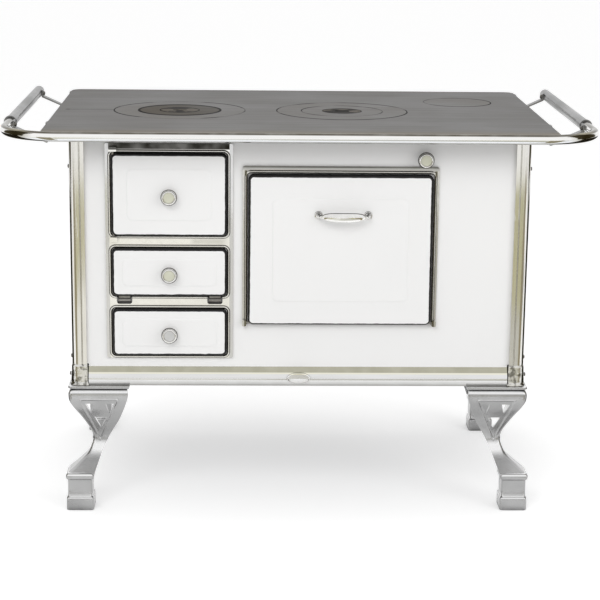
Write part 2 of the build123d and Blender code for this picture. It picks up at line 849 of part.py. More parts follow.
# A plain oval badge on the front of the skirt.
badge_z = leg_height + badge_height / 2 + badge_lift
with BuildPart() as badge_plate:
    with BuildSketch(facing(front_y - skirt_reach)):
        with Locations((0, badge_z)):
            Ellipse(badge_width / 2, badge_height / 2)
    extrude(amount=badge_depth)
    chamfer(badge_plate.faces().sort_by(Axis.Y)[0].edges(), badge_edge)
badge_plate.part.label = "badge_plate"
export_step(badge_plate.part, "parts/badge_plate.step")

# ================= Chrome frame round the three doors =================
column_middle_z = (column_bottom + column_top) / 2
fire_pin_x = column_x - leaf_width / 2 + fire_pin_inset
fire_pin_y = leaf_back_y - fire_pin_depth
fire_leaf_bottom = fire_opening_bottom + door_gap
fire_leaf_top = fire_opening_top - door_gap
lug_centres_z = (
    fire_leaf_top + lug_gap + lug_height / 2,
    fire_leaf_bottom - lug_gap - lug_height / 2,
)
notch_xs = (column_x - notch_spacing / 2, column_x + notch_spacing / 2)
with BuildPart() as column_frame:
    with BuildSketch(facing(front_y)):
        with Locations((column_x, column_middle_z)):
            RectangleRounded(column_width, column_top - column_bottom, frame_corner_radius)
        for level_bottom, level_top in door_levels.values():
            with Locations((column_x, (level_bottom + level_top) / 2)):
                RectangleRounded(
                    opening_width, level_top - level_bottom, opening_corner_radius, mode=Mode.SUBTRACT
                )
    extrude(amount=frame_thickness)
    # A rolled bead round each opening.
    with BuildSketch(facing(front_y - frame_thickness)):
        for level_bottom, level_top in door_levels.values():
            with Locations((column_x, (level_bottom + level_top) / 2)):
                RectangleRounded(
                    opening_width + 2 * bead_width,
                    level_top - level_bottom + 2 * bead_width,
                    opening_corner_radius + bead_width,
                )
        for level_bottom, level_top in door_levels.values():
            with Locations((column_x, (level_bottom + level_top) / 2)):
                RectangleRounded(
                    opening_width, level_top - level_bottom, opening_corner_radius, mode=Mode.SUBTRACT
                )
    extrude(amount=bead_reach)
    chamfer(column_frame.faces().group_by(Axis.Y)[0].edges(), bead_edge)
    # Two hinge lugs for the firebox door.
    for lug_z in lug_centres_z:
        with BuildSketch(facing(front_y - frame_thickness / 2)):
            with Locations((fire_pin_x, lug_z)):
                RectangleRounded(lug_width, lug_height, lug_corner_radius)
        extrude(amount=leaf_back_gap + fire_pin_depth + lug_front - frame_thickness / 2)
    with Locations(Location((fire_pin_x, fire_pin_y, column_middle_z))):
        Cylinder(pin_radius, column_top - column_bottom, mode=Mode.SUBTRACT)
    # Two notches in the bar under the flap, where its hinges sit.
    with BuildSketch(facing(front_y + sheet)):
        for notch_x in notch_xs:
            with Locations((notch_x, flap_opening_bottom - notch_depth / 2 + notch_radius / 2)):
                RectangleRounded(notch_width, notch_depth + notch_radius, notch_radius)
    extrude(amount=frame_thickness + bead_reach + 2 * sheet, mode=Mode.SUBTRACT)
column_frame.part.label = "column_frame"
export_step(column_frame.part, "parts/column_frame.step")


def press_pan(centre_x, bottom, top, width):
    # A pressed door pan, open at the back, with rolled edges and a raised field.
    height = top - bottom
    with BuildSketch(facing(leaf_back_y)) as pan_outline:
        with Locations((centre_x, (bottom + top) / 2)):
            RectangleRounded(width, height, leaf_corner_radius)
    pan = extrude(pan_outline.sketch, amount=leaf_depth)
    fillet(pan.faces().sort_by(Axis.Y)[0].edges(), leaf_edge_radius)
    with BuildSketch(facing(leaf_back_y)) as pan_hollow:
        with Locations((centre_x, (bottom + top) / 2)):
            RectangleRounded(width - 2 * leaf_wall, height - 2 * leaf_wall, leaf_corner_radius - leaf_wall)
    extrude(pan_hollow.sketch, amount=leaf_depth - leaf_edge_radius, mode=Mode.SUBTRACT)
    with BuildSketch(facing(leaf_front_y)) as raised_field:
        with Locations((centre_x, (bottom + top) / 2)):
            RectangleRounded(width - 2 * field_margin, height - 2 * field_margin, leaf_corner_radius)
    extrude(raised_field.sketch, amount=field_rise, taper=field_taper)


def press_liner(centre_x, bottom, top, width, lap, plug_width, plug_bottom, plug_top):
    # The inner pan that closes the back of a door, with a plug that enters the mouth behind it.
    with BuildSketch(facing(leaf_back_y)) as liner_outline:
        with Locations((centre_x, (bottom + top) / 2)):
            RectangleRounded(width - 2 * lap, top - bottom - 2 * lap, leaf_corner_radius - leaf_wall)
    extrude(liner_outline.sketch, amount=liner_sheet)
    with BuildSketch(facing(leaf_back_y)) as plug_outline:
        with Locations((centre_x, (plug_bottom + plug_top) / 2)):
            RectangleRounded(plug_width, plug_top - plug_bottom, leaf_corner_radius - leaf_wall)
    extrude(plug_outline.sketch, amount=-leaf_back_gap - plug_reach, taper=plug_taper)


def turn_knob(x, z, face_y):
    # A mushroom knob with a shallow round dish for its inlaid disc.
    with BuildSketch(facing(face_y)) as stem:
        with Locations((x, z)):
            Circle(knob_stem_radius)
    extrude(stem.sketch, amount=knob_stem_length)
    with BuildSketch(facing(face_y - knob_stem_length)) as disc:
        with Locations((x, z)):
            Circle(knob_radius)
    head = extrude(disc.sketch, amount=knob_head_depth)
    chamfer(head.faces().sort_by(Axis.Y)[0].edges(), knob_edge)
    with BuildSketch(facing(face_y - knob_stem_length - knob_head_depth)) as dish:
        with Locations((x, z)):
            Circle(knob_dish_radius)
    extrude(dish.sketch, amount=-knob_dish_depth, mode=Mode.SUBTRACT)


# ================= Firebox door =================
mouth_width = panel_gap_width - 2 * mouth_margin
plug_width = mouth_width - plug_margin / 2
fire_mouth_bottom = fire_leaf_bottom + 2 * mouth_margin
fire_mouth_top = fire_leaf_top - 2 * mouth_margin
knuckle_height = pin_grip + knuckle_wall
knuckle_x = column_x - leaf_width / 2 + leaf_wall + knuckle_width / 2
with BuildPart() as fire_door:
    press_pan(column_x, fire_leaf_bottom, fire_leaf_top, leaf_width)
    # Solid knuckles in both left corners take the hinge pins.
    for knuckle_z in (
        fire_leaf_bottom + knuckle_inset + knuckle_height / 2,
        fire_leaf_top - knuckle_inset - knuckle_height / 2,
    ):
        with BuildSketch(facing(leaf_back_y)):
            with Locations((knuckle_x, knuckle_z)):
                RectangleRounded(knuckle_width, knuckle_height, knuckle_corner_radius)
        extrude(amount=leaf_depth - leaf_wall)
    with Locations(
        Location((fire_pin_x, fire_pin_y, fire_leaf_bottom + pin_grip / 2)),
        Location((fire_pin_x, fire_pin_y, fire_leaf_top - pin_grip / 2)),
    ):
        Cylinder(pin_radius + pin_fit, pin_grip, mode=Mode.SUBTRACT)
fire_door.part.label = "fire_door"
export_step(fire_door.part, "parts/fire_door.step")

with BuildPart() as fire_door_liner:
    press_liner(
        column_x,
        fire_leaf_bottom,
        fire_leaf_top,
        leaf_width,
        liner_lap + fire_pin_inset,
        plug_width,
        fire_mouth_bottom + plug_margin / 4,
        fire_mouth_top - plug_margin / 4,
    )
fire_door_liner.part.label = "fire_door_liner"
export_step(fire_door_liner.part, "parts/fire_door_liner.step")

fire_knob_z = (fire_leaf_bottom + fire_leaf_top) / 2 - knob_drop
with BuildPart() as fire_door_knob:
    turn_knob(column_x, fire_knob_z, leaf_front_y - field_rise)
fire_door_knob.part.label = "fire_door_knob"
export_step(fire_door_knob.part, "parts/fire_door_knob.step")

# ================= Draught flap =================
flap_leaf_bottom = flap_opening_bottom + door_gap
flap_leaf_top = flap_opening_top - door_gap
flap_pin_z = flap_leaf_bottom - flap_pin_drop
flap_pin_y = leaf_back_y - flap_pin_depth
flap_mouth_bottom = flap_leaf_bottom + mouth_margin
flap_mouth_top = flap_leaf_top - mouth_margin
eye_width = notch_width - 2 * (cheek_thickness + cheek_gap)
with BuildPart() as draught_flap:
    press_pan(column_x, flap_leaf_bottom, flap_leaf_top, leaf_width)
    for notch_x in notch_xs:
        with BuildSketch(Plane.YZ.offset(notch_x - eye_width / 2)):
            with Locations((flap_pin_y, flap_pin_z)):
                Circle(flap_eye_radius)
            with Locations((flap_pin_y, (flap_pin_z + flap_leaf_bottom + leaf_corner_radius) / 2)):
                Rectangle(2 * flap_pin_depth, flap_leaf_bottom + leaf_corner_radius - flap_pin_z)
            with Locations((flap_pin_y, flap_pin_z)):
                Circle(flap_pin_radius + pin_fit, mode=Mode.SUBTRACT)
        extrude(amount=eye_width)
draught_flap.part.label = "draught_flap"
export_step(draught_flap.part, "parts/draught_flap.step")

with BuildPart() as draught_flap_liner:
    press_liner(
        column_x,
        flap_leaf_bottom,
        flap_leaf_top,
        leaf_width,
        leaf_corner_radius + flap_pin_depth,
        plug_width,
        flap_mouth_bottom + plug_margin / 2,
        flap_mouth_top - plug_margin / 2,
    )
draught_flap_liner.part.label = "draught_flap_liner"
export_step(draught_flap_liner.part, "parts/draught_flap_liner.step")

flap_knob_z = (flap_leaf_bottom + flap_leaf_top) / 2 - knob_drop
with BuildPart() as draught_flap_knob:
    turn_knob(column_x, flap_knob_z, leaf_front_y - field_rise)
draught_flap_knob.part.label = "draught_flap_knob"
export_step(draught_flap_knob.part, "parts/draught_flap_knob.step")

# Two forked brackets in the notches, each with its pin, on the back of the bar.
cheek_bottom = flap_opening_bottom - notch_depth + notch_radius + cheek_gap / 2
cheek_height = flap_pin_z + flap_eye_radius + leaf_back_gap / 2 - cheek_bottom
with BuildPart() as flap_hinges:
    for notch_x in notch_xs:
        with BuildSketch(facing(front_y)):
            with Locations((notch_x, flap_opening_bottom - notch_depth - cheek_thickness / 2)):
                Rectangle(notch_width, 2 * cheek_thickness)
        extrude(amount=-sheet)
        for cheek_side in (-1, 1):
            cheek_x = notch_x + cheek_side * (notch_width - cheek_thickness) / 2
            with BuildSketch(Plane.YZ.offset(cheek_x - cheek_thickness / 2)):
                with Locations((front_y + sheet - cheek_depth / 2, cheek_bottom + cheek_height / 2)):
                    Rectangle(cheek_depth, cheek_height)
                with Locations((front_y + sheet / 2, flap_opening_bottom - notch_depth)):
                    Rectangle(sheet, notch_depth)
            extrude(amount=cheek_thickness)
        with BuildSketch(Plane.YZ.offset(notch_x - notch_width / 2)):
            with Locations((flap_pin_y, flap_pin_z)):
                Circle(flap_pin_radius)
        extrude(amount=notch_width)
flap_hinges.part.label = "flap_hinges"
export_step(flap_hinges.part, "parts/flap_hinges.step")

# ================= Ash drawer =================
drawer_leaf_bottom = drawer_opening_bottom + door_gap
drawer_leaf_top = drawer_opening_top - door_gap
drawer_half_width = panel_gap_width / 2 - drawer_side_gap
drawer_bottom = column_gap_bottom + drawer_lift
with BuildPart() as drawer_front:
    press_pan(column_x, drawer_leaf_bottom, drawer_leaf_top, leaf_width)
drawer_front.part.label = "drawer_front"
export_step(drawer_front.part, "parts/drawer_front.step")

drawer_knob_z = (drawer_leaf_bottom + drawer_leaf_top) / 2 - knob_drop
with BuildPart() as drawer_knob:
    turn_knob(column_x, drawer_knob_z, leaf_front_y - field_rise)
drawer_knob.part.label = "drawer_knob"
export_step(drawer_knob.part, "parts/drawer_knob.step")

with BuildPart() as drawer_box:
    drawer_middle_y = leaf_back_y + drawer_length / 2
    with BuildSketch(Plane.XY.offset(drawer_bottom)):
        with Locations((column_x, drawer_middle_y)):
            Rectangle(2 * drawer_half_width, drawer_length)
    extrude(amount=drawer_height)
    with BuildSketch(Plane.XY.offset(drawer_bottom + sheet)):
        with Locations((column_x, drawer_middle_y)):
            Rectangle(2 * (drawer_half_width - sheet), drawer_length - 2 * sheet)
    extrude(amount=drawer_height, mode=Mode.SUBTRACT)
    # A front plate that closes the back of the drawer's pressed front.
    with BuildSketch(facing(leaf_back_y + sheet)):
        with Locations((column_x, (drawer_leaf_bottom + drawer_leaf_top) / 2)):
            RectangleRounded(
                leaf_width - 2 * liner_lap,
                drawer_leaf_top - drawer_leaf_bottom - 2 * liner_lap,
                leaf_corner_radius - leaf_wall,
            )
    extrude(amount=sheet)
    with BuildSketch(facing(leaf_back_y)):
        with Locations((column_x, (drawer_leaf_bottom + drawer_leaf_top) / 2)):
            Rectangle(leaf_width - 2 * leaf_wall, 2 * knob_stem_radius)
    extrude(amount=liner_sheet)
drawer_box.part.label = "drawer_box"
export_step(drawer_box.part, "parts/drawer_box.step")

with BuildPart() as drawer_runners:
    runner_top = drawer_bottom - runner_gap
    for side in (-1, 1):
        guide_x = column_x + side * (panel_gap_width / 2 + runner_wall / 2)
        runner_x = guide_x - side * (runner_width - runner_wall) / 2
        with BuildSketch(facing(inner_back_y)):
            with Locations((guide_x, runner_top + runner_guide / 2 - runner_wall / 2)):
                Rectangle(runner_wall, runner_guide + runner_wall)
            with Locations((runner_x, runner_top - runner_wall / 2)):
                Rectangle(runner_width, runner_wall)
        extrude(amount=inner_back_y - inner_front_y)
drawer_runners.part.label = "drawer_runners"
export_step(drawer_runners.part, "parts/drawer_runners.step")

# ================= Firebox, grate and ash chute =================
firebox_half_width = panel_gap_width / 2 + firebox_side_lap
firebox_bottom = fire_opening_bottom - mouth_margin
firebox_top = plate_underside - top_frame_depth
firebox_length = inner_back_y - inner_front_y - firebox_back_room
firebox_middle_y = inner_front_y + firebox_length / 2
grate_y = firebox_middle_y - grate_ledge
with BuildPart() as firebox:
    with BuildSketch(Plane.XY.offset(firebox_bottom)):
        with Locations((column_x, firebox_middle_y)):
            Rectangle(2 * firebox_half_width, firebox_length)
    extrude(amount=firebox_top - firebox_bottom)
    with BuildSketch(Plane.XY.offset(firebox_bottom + firebox_wall)):
        with Locations((column_x, firebox_middle_y)):
            Rectangle(2 * (firebox_half_width - firebox_wall), firebox_length - 2 * firebox_wall)
    extrude(amount=firebox_top, mode=Mode.SUBTRACT)
    with BuildSketch(facing(inner_front_y)):
        with Locations((column_x, (fire_mouth_bottom + fire_mouth_top) / 2)):
            Rectangle(mouth_width, fire_mouth_top - fire_mouth_bottom)
    extrude(amount=-firebox_wall, mode=Mode.SUBTRACT)
    # The stepped hole in the floor that the grate drops into.
    with BuildSketch(Plane.XY.offset(firebox_bottom)):
        with Locations((column_x, grate_y)):
            Rectangle(grate_width - 2 * grate_ledge, grate_length - 2 * grate_ledge)
    extrude(amount=firebox_wall, mode=Mode.SUBTRACT)
firebox.part.label = "firebox"
export_step(firebox.part, "parts/firebox.step")

with BuildPart() as grate:
    grate_bottom = firebox_bottom + firebox_wall
    grate_pitch = (grate_width - grate_bar_width) / (grate_bar_count - 1)
    with BuildSketch(Plane.XY.offset(grate_bottom)):
        with Locations((column_x, grate_y)):
            Rectangle(grate_width, grate_length)
            Rectangle(
                grate_width - 2 * grate_bar_width, grate_length - 2 * grate_bar_width, mode=Mode.SUBTRACT
            )
        with Locations((column_x, grate_y)):
            with GridLocations(grate_pitch, 0, grate_bar_count, 1):
                Rectangle(grate_bar_width, grate_length)
    extrude(amount=grate_depth)
grate.part.label = "grate"
export_step(grate.part, "parts/grate.step")

chute_bottom = drawer_bottom + drawer_height + chute_drop
chute_length = grate_y + grate_length / 2 - inner_front_y
with BuildPart() as ash_chute:
    chute_middle_y = inner_front_y + chute_length / 2
    with BuildSketch(Plane.XY.offset(chute_bottom)):
        with Locations((column_x, chute_middle_y)):
            Rectangle(2 * firebox_half_width, chute_length)
            Rectangle(
                2 * (firebox_half_width - chute_wall), chute_length - 2 * chute_wall, mode=Mode.SUBTRACT
            )
    extrude(amount=firebox_bottom - chute_bottom)
    with BuildSketch(facing(inner_front_y)):
        with Locations((column_x, (flap_mouth_bottom + flap_mouth_top) / 2)):
            Rectangle(mouth_width, flap_mouth_top - flap_mouth_bottom)
    extrude(amount=-chute_wall, mode=Mode.SUBTRACT)
ash_chute.part.label = "ash_chute"
export_step(ash_chute.part, "parts/ash_chute.step")

# ================= Oven =================
oven_box_bottom = oven_leaf_bottom + oven_lip - 2 * oven_wall
oven_box_top = oven_leaf_top - oven_lip + 2 * oven_wall
oven_box_half = oven_gap_width / 2 + 2 * oven_wall
shelf_z = oven_box_bottom + shelf_rise
with BuildPart() as oven_box:
    with BuildSketch(facing(inner_front_y)):
        with Locations((oven_x, oven_middle_z)):
            Rectangle(2 * oven_box_half, oven_box_top - oven_box_bottom)
    extrude(amount=-oven_length)
    with BuildSketch(facing(inner_front_y)):
        with Locations((oven_x, oven_middle_z)):
            Rectangle(2 * (oven_box_half - oven_wall), oven_box_top - oven_box_bottom - 2 * oven_wall)
    extrude(amount=oven_wall - oven_length, mode=Mode.SUBTRACT)
    # Ledges along both side walls carry the shelf.
    for side in (-1, 1):
        ledge_x = oven_x + side * (oven_box_half - oven_wall - shelf_ledge / 2)
        with BuildSketch(facing(inner_front_y + shelf_margin)):
            with Locations((ledge_x, shelf_z - oven_wall / 2)):
                Rectangle(shelf_ledge, oven_wall)
        extrude(amount=shelf_margin + oven_wall - oven_length)
oven_box.part.label = "oven_box"
export_step(oven_box.part, "parts/oven_box.step")

# A wire shelf: two side wires along the oven and cross wires between them.
with BuildPart() as oven_shelf:
    shelf_half = oven_box_half - oven_wall - shelf_wire_size / 2 - shelf_side_gap
    shelf_front_y = inner_front_y + shelf_margin + shelf_wire_size / 2
    shelf_back_y = inner_front_y + oven_length - oven_wall - shelf_margin
    shelf_middle_y = (shelf_front_y + shelf_back_y) / 2
    shelf_length = shelf_back_y - shelf_front_y
    wire_z = shelf_z + shelf_wire_size / 2
    with BuildSketch(facing(shelf_back_y)):
        with Locations((oven_x - shelf_half, wire_z), (oven_x + shelf_half, wire_z)):
            Rectangle(shelf_wire_size, shelf_wire_size)
    extrude(amount=shelf_length)
    with BuildSketch(Plane.YZ.offset(oven_x - shelf_half)):
        with Locations((shelf_middle_y, wire_z)):
            with GridLocations(
                (shelf_length - shelf_wire_size) / (shelf_wire_count - 1), 0, shelf_wire_count, 1
            ):
                Rectangle(shelf_cross_size, shelf_cross_size)
    extrude(amount=2 * shelf_half)
oven_shelf.part.label = "oven_shelf"
export_step(oven_shelf.part, "parts/oven_shelf.step")

oven_pin_y = leaf_back_y - oven_pin_depth
oven_pin_z = oven_leaf_bottom + oven_pin_rise
oven_opening_half = oven_leaf_width / 2 + oven_side_gap
oven_opening_top = oven_leaf_top + oven_side_gap
oven_foot_bottom = oven_pin_z - oven_foot_drop
with BuildPart() as oven_frame:
    for frame_step, frame_from, head, strip in (
        (0.0, frame_thickness, oven_frame_head, oven_frame_side),
        (frame_thickness, bead_reach, bead_width, bead_width),
    ):
        with BuildSketch(facing(front_y - frame_step)):
            with Locations((oven_x, (oven_foot_bottom + oven_opening_top + head) / 2)):
                RectangleRounded(
                    2 * (oven_opening_half + strip),
                    oven_opening_top + head - oven_foot_bottom,
                    oven_frame_radius,
                )
            with Locations((oven_x, (oven_foot_bottom + oven_opening_top) / 2 - oven_foot_height)):
                RectangleRounded(
                    2 * oven_opening_half,
                    oven_opening_top - oven_foot_bottom + 2 * oven_foot_height,
                    opening_corner_radius,
                    mode=Mode.SUBTRACT,
                )
        extrude(amount=frame_from)
    chamfer(oven_frame.faces().sort_by(Axis.Y)[0].edges(), bead_edge)
    # The feet at the bottom of both sides hold the door's hinge pins.
    for side in (-1, 1):
        foot_x = oven_x + side * (oven_opening_half + oven_frame_side / 2)
        with BuildSketch(facing(front_y)):
            with Locations((foot_x, oven_foot_bottom + oven_foot_height / 2)):
                RectangleRounded(oven_frame_side, oven_foot_height, lug_corner_radius)
        extrude(amount=oven_foot_reach + frame_thickness)
    with Locations(Location((oven_x, oven_pin_y, oven_pin_z), (0, 90, 0))):
        Cylinder(pin_radius, 2 * (oven_opening_half + oven_frame_side), mode=Mode.SUBTRACT)
oven_frame.part.label = "oven_frame"
export_step(oven_frame.part, "parts/oven_frame.step")

# The pins that both side-lugged doors turn on: two upright ones and two lying ones.
with BuildPart() as hinge_pins:
    for lug_z, inward in zip(lug_centres_z, (-1, 1)):
        with BuildSketch(Plane.XY.offset(lug_z - inward * lug_height / 2)):
            with Locations((fire_pin_x, fire_pin_y)):
                Circle(pin_radius)
        extrude(amount=inward * (lug_height + lug_gap + pin_grip - pin_end_gap))
    for side in (-1, 1):
        with BuildSketch(Plane.YZ.offset(oven_x + side * (oven_opening_half + oven_frame_side))):
            with Locations((oven_pin_y, oven_pin_z)):
                Circle(pin_radius)
        extrude(amount=-side * (oven_frame_side + oven_side_gap + pin_grip - pin_end_gap))
hinge_pins.part.label = "hinge_pins"
export_step(hinge_pins.part, "parts/hinge_pins.step")

with BuildPart() as oven_door:
    press_pan(oven_x, oven_leaf_bottom, oven_leaf_top, oven_leaf_width)
    for side in (-1, 1):
        knuckle_middle_x = oven_x + side * (oven_leaf_width / 2 - knuckle_inset - knuckle_height / 2)
        with BuildSketch(facing(leaf_back_y)):
            with Locations((knuckle_middle_x, oven_leaf_bottom + knuckle_inset + knuckle_depth / 2)):
                RectangleRounded(knuckle_height, knuckle_depth, knuckle_corner_radius)
        extrude(amount=leaf_depth - leaf_wall)
        grip_x = oven_x + side * (oven_leaf_width / 2 - pin_grip / 2)
        with Locations(Location((grip_x, oven_pin_y, oven_pin_z), (0, 90, 0))):
            Cylinder(pin_radius + pin_fit, pin_grip, mode=Mode.SUBTRACT)
oven_door.part.label = "oven_door"
export_step(oven_door.part, "parts/oven_door.step")

with BuildPart() as oven_door_liner:
    press_liner(
        oven_x,
        oven_leaf_bottom,
        oven_leaf_top,
        oven_leaf_width,
        liner_lap + oven_pin_rise,
        oven_gap_width - plug_margin,
        oven_leaf_bottom + oven_lip + plug_margin / 2,
        oven_leaf_top - oven_lip - plug_margin / 2,
    )
oven_door_liner.part.label = "oven_door_liner"
export_step(oven_door_liner.part, "parts/oven_door_liner.step")

# The handle: two stepped bosses, bent necks and a bowed grip with round ends.
handle_x = oven_x + handle_shift
handle_z = oven_leaf_top - handle_drop
handle_face_y = leaf_front_y - field_rise
grip_middle_y = handle_face_y - handle_reach
grip_radius = ((handle_grip_length / 2) ** 2 + handle_grip_bow**2) / (2 * handle_grip_bow)
with BuildPart() as handle_grip:
    with BuildSketch(Plane.XY.offset(handle_z - handle_grip_height / 2)):
        with Locations((handle_x, grip_middle_y + grip_radius)):
            Circle(grip_radius + handle_grip_thickness / 2)
            Circle(grip_radius - handle_grip_thickness / 2, mode=Mode.SUBTRACT)
    extrude(amount=handle_grip_height)
    with BuildSketch(facing(handle_face_y)):
        with Locations((handle_x, handle_z)):
            SlotOverall(handle_grip_length, handle_grip_height)
    extrude(amount=2 * handle_reach, mode=Mode.INTERSECT)
with BuildPart() as oven_handle:
    for side in (-1, 1):
        boss_x = handle_x + side * handle_span / 2
        for boss_radius, boss_height in (
            (handle_boss_radius, handle_boss_height),
            (handle_collar_radius, handle_collar_height),
        ):
            with BuildSketch(facing(handle_face_y)):
                with Locations((boss_x, handle_z)):
                    Circle(boss_radius)
            boss = extrude(amount=boss_height)
            chamfer(boss.faces().sort_by(Axis.Y)[0].edges(), handle_edge)
        neck_y = grip_middle_y + handle_grip_bow
        with BuildLine() as neck_path:
            neck = Line(
                (boss_x, handle_face_y - handle_boss_height, handle_z),
                (boss_x, neck_y + handle_neck_bend, handle_z),
            )
            RadiusArc(
                neck @ 1,
                (boss_x - side * handle_neck_bend, neck_y, handle_z),
                side * handle_neck_bend,
            )
        with BuildSketch(Plane(origin=neck_path.line @ 0, z_dir=neck_path.line % 0)):
            Circle(handle_neck_radius)
        sweep(path=neck_path.line)
    add(handle_grip.part)
oven_handle.part.label = "oven_handle"
export_step(oven_handle.part, "parts/oven_handle.step")

# ================= Damper =================
smoke_shelf_y = inner_front_y + oven_length - shelf_lap
port_y = (inner_front_y + oven_length + inner_back_y) / 2
with BuildPart() as smoke_shelf:
    with BuildSketch(Plane.XY.offset(oven_box_top)):
        with Locations((oven_x, (smoke_shelf_y + inner_back_y) / 2)):
            Rectangle(2 * oven_box_half, inner_back_y - smoke_shelf_y)
        with Locations((damper_x - damper_lap, port_y)):
            Rectangle(damper_port_width, damper_port_length, mode=Mode.SUBTRACT)
    extrude(amount=shelf_sheet)
smoke_shelf.part.label = "smoke_shelf"
export_step(smoke_shelf.part, "parts/smoke_shelf.step")

damper_plate_bottom = oven_box_top + shelf_sheet
damper_plate_length = damper_port_length + 2 * damper_lap
with BuildPart() as damper_plate:
    with BuildSketch(Plane.XY.offset(damper_plate_bottom)):
        with Locations((damper_x - damper_lap, port_y)):
            Rectangle(damper_port_width + 2 * damper_lap, damper_plate_length)
    extrude(amount=damper_plate_thickness)
    # The tab that the rod screws into.
    tab_front_y = port_y - damper_plate_length / 2
    with BuildSketch(facing(tab_front_y)):
        with Locations((damper_x, (damper_plate_bottom + damper_z + bush_radius) / 2)):
            Rectangle(2 * bush_radius, damper_z + bush_radius - damper_plate_bottom)
    extrude(amount=-damper_tab_thickness)
damper_plate.part.label = "damper_plate"
export_step(damper_plate.part, "parts/damper_plate.step")

damper_knob_y = front_y - bush_length / 4 - sheet
with BuildPart() as damper_rod:
    with BuildSketch(facing(tab_front_y)):
        with Locations((damper_x, damper_z)):
            Circle(damper_rod_radius)
    extrude(amount=tab_front_y - damper_knob_y)
damper_rod.part.label = "damper_rod"
export_step(damper_rod.part, "parts/damper_rod.step")

with BuildPart() as damper_knob:
    turn_knob(damper_x, damper_z, damper_knob_y)
damper_knob.part.label = "damper_knob"
export_step(damper_knob.part, "parts/damper_knob.step")

with BuildPart() as damper_bush:
    with BuildSketch(facing(inner_front_y)):
        with Locations((damper_x, damper_z)):
            Circle(bush_radius)
            Circle(damper_rod_radius + damper_fit, mode=Mode.SUBTRACT)
    extrude(amount=-bush_length)
damper_bush.part.label = "damper_bush"
export_step(damper_bush.part, "parts/damper_bush.step")

# ================= Legs =================
leg_body_top = leg_height - leg_lip_height
leg_rise = leg_body_top - leg_ankle_height
leg_span = leg_arm_length + leg_ledge_outset + leg_lip_width


def outer_curve(start_across, shift):
    # The leg's outer edge, from the lip in to the waist and out to the ankle. Across, then up.
    return Spline(
        *[
            (start_across + shift + inset, leg_ankle_height + share * leg_rise)
            for inset, share in leg_outer_edge
        ]
    )


def curved_wall(start_across, shift, thickness):
    # The section of a wall of even thickness that follows the outer edge down the leg.
    with BuildLine() as wall_edges:
        outer = outer_curve(start_across, shift)
        inner = outer_curve(start_across, shift + thickness)
        Line(outer @ 0, inner @ 0)
        Line(outer @ 1, inner @ 1)
    make_face(wall_edges.edges())


# One arm of the leg: a pierced triangular face over a narrow shin.
pierce_x = leg_corner_x + leg_panel_inset
pierce_top = leg_body_top - pierce_drop
lower_pierce_top = pierce_top - pierce_height - lower_pierce_gap
with BuildPart() as leg_arm:
    with BuildSketch(Plane.YZ.offset(leg_corner_x - leg_lip_width)):
        curved_wall(leg_corner_y, 0.0, leg_arm_thickness)
    extrude(amount=leg_span + leg_lip_width)
    with BuildSketch(facing(leg_corner_y - leg_lip_width)) as arm_outline:
        with BuildLine():
            outer = outer_curve(leg_corner_x, 0.0)
            inner = Spline(
                *[
                    (leg_corner_x + reach * leg_arm_length, leg_ankle_height + share * leg_rise)
                    for reach, share in leg_inner_edge
                ]
            )
            Line(outer @ 0, inner @ 0)
            Line(outer @ 1, inner @ 1)
        make_face()
    extrude(amount=-leg_span, mode=Mode.INTERSECT)
    # Three piercings: a pair of triangles over a single one, all with their points down.
    with BuildSketch(facing(leg_corner_y - leg_lip_width)):
        for pierce_side in (-1, 1):
            with BuildLine():
                Polyline(
                    (pierce_x + pierce_side * pierce_spread, pierce_top),
                    (pierce_x + pierce_side * (pierce_spread + pierce_width), pierce_top),
                    (pierce_x + pierce_side * pierce_tip, pierce_top - pierce_height),
                    close=True,
                )
            make_face()
        with BuildLine():
            Polyline(
                (pierce_x - lower_pierce_half, lower_pierce_top),
                (pierce_x + lower_pierce_half, lower_pierce_top),
                (pierce_x, lower_pierce_top - pierce_height),
                close=True,
            )
        make_face()
    extrude(amount=-leg_span, mode=Mode.SUBTRACT)

# The raised border that runs round the piercings on the arm's face.
with BuildPart() as leg_border:
    with BuildSketch(Plane.YZ.offset(leg_corner_x - leg_lip_width)):
        curved_wall(leg_corner_y, -leg_border_rise, leg_arm_thickness)
    extrude(amount=leg_span + leg_lip_width)
    with BuildSketch(facing(leg_corner_y - leg_lip_width)):
        border_top = leg_body_top - leg_border_drop
        with BuildLine():
            Polyline(
                (pierce_x - leg_border_half, border_top),
                (pierce_x + leg_border_half, border_top),
                (pierce_x, border_top - leg_border_height),
                close=True,
            )
        make_face()
        offset(amount=-leg_border_width, kind=Kind.INTERSECTION, mode=Mode.SUBTRACT)
    extrude(amount=-leg_span, mode=Mode.INTERSECT)

# The foot: a ledge with rolled edges, a block, and a base with a bevelled shoulder.
foot_middle = leg_ledge_size / 2 - leg_ledge_outset
with BuildPart() as leg_foot:
    for foot_bottom, foot_top, foot_size, foot_radius, foot_edge in (
        (0.0, leg_base_height, leg_base_size, leg_foot_radius, leg_base_edge),
        (leg_ledge_bottom, leg_ledge_top, leg_ledge_size, leg_ledge_radius, leg_ledge_edge),
    ):
        with BuildSketch(Plane.XY.offset(foot_bottom)):
            with Locations((leg_corner_x + foot_middle, leg_corner_y + foot_middle)):
                RectangleRounded(foot_size, foot_size, foot_radius)
        foot_step = extrude(amount=foot_top - foot_bottom)
        chamfer(foot_step.faces().sort_by(Axis.Z)[-1].edges(), foot_edge)
        if foot_bottom > 0:
            chamfer(foot_step.faces().sort_by(Axis.Z)[0].edges(), foot_edge)
    with BuildSketch(Plane.XY.offset(leg_base_height - leg_foot_overlap)):
        with Locations((leg_corner_x + foot_middle, leg_corner_y + foot_middle)):
            RectangleRounded(leg_block_size, leg_block_size, leg_foot_radius)
    extrude(amount=leg_ledge_bottom - leg_base_height + 3 * leg_foot_overlap)

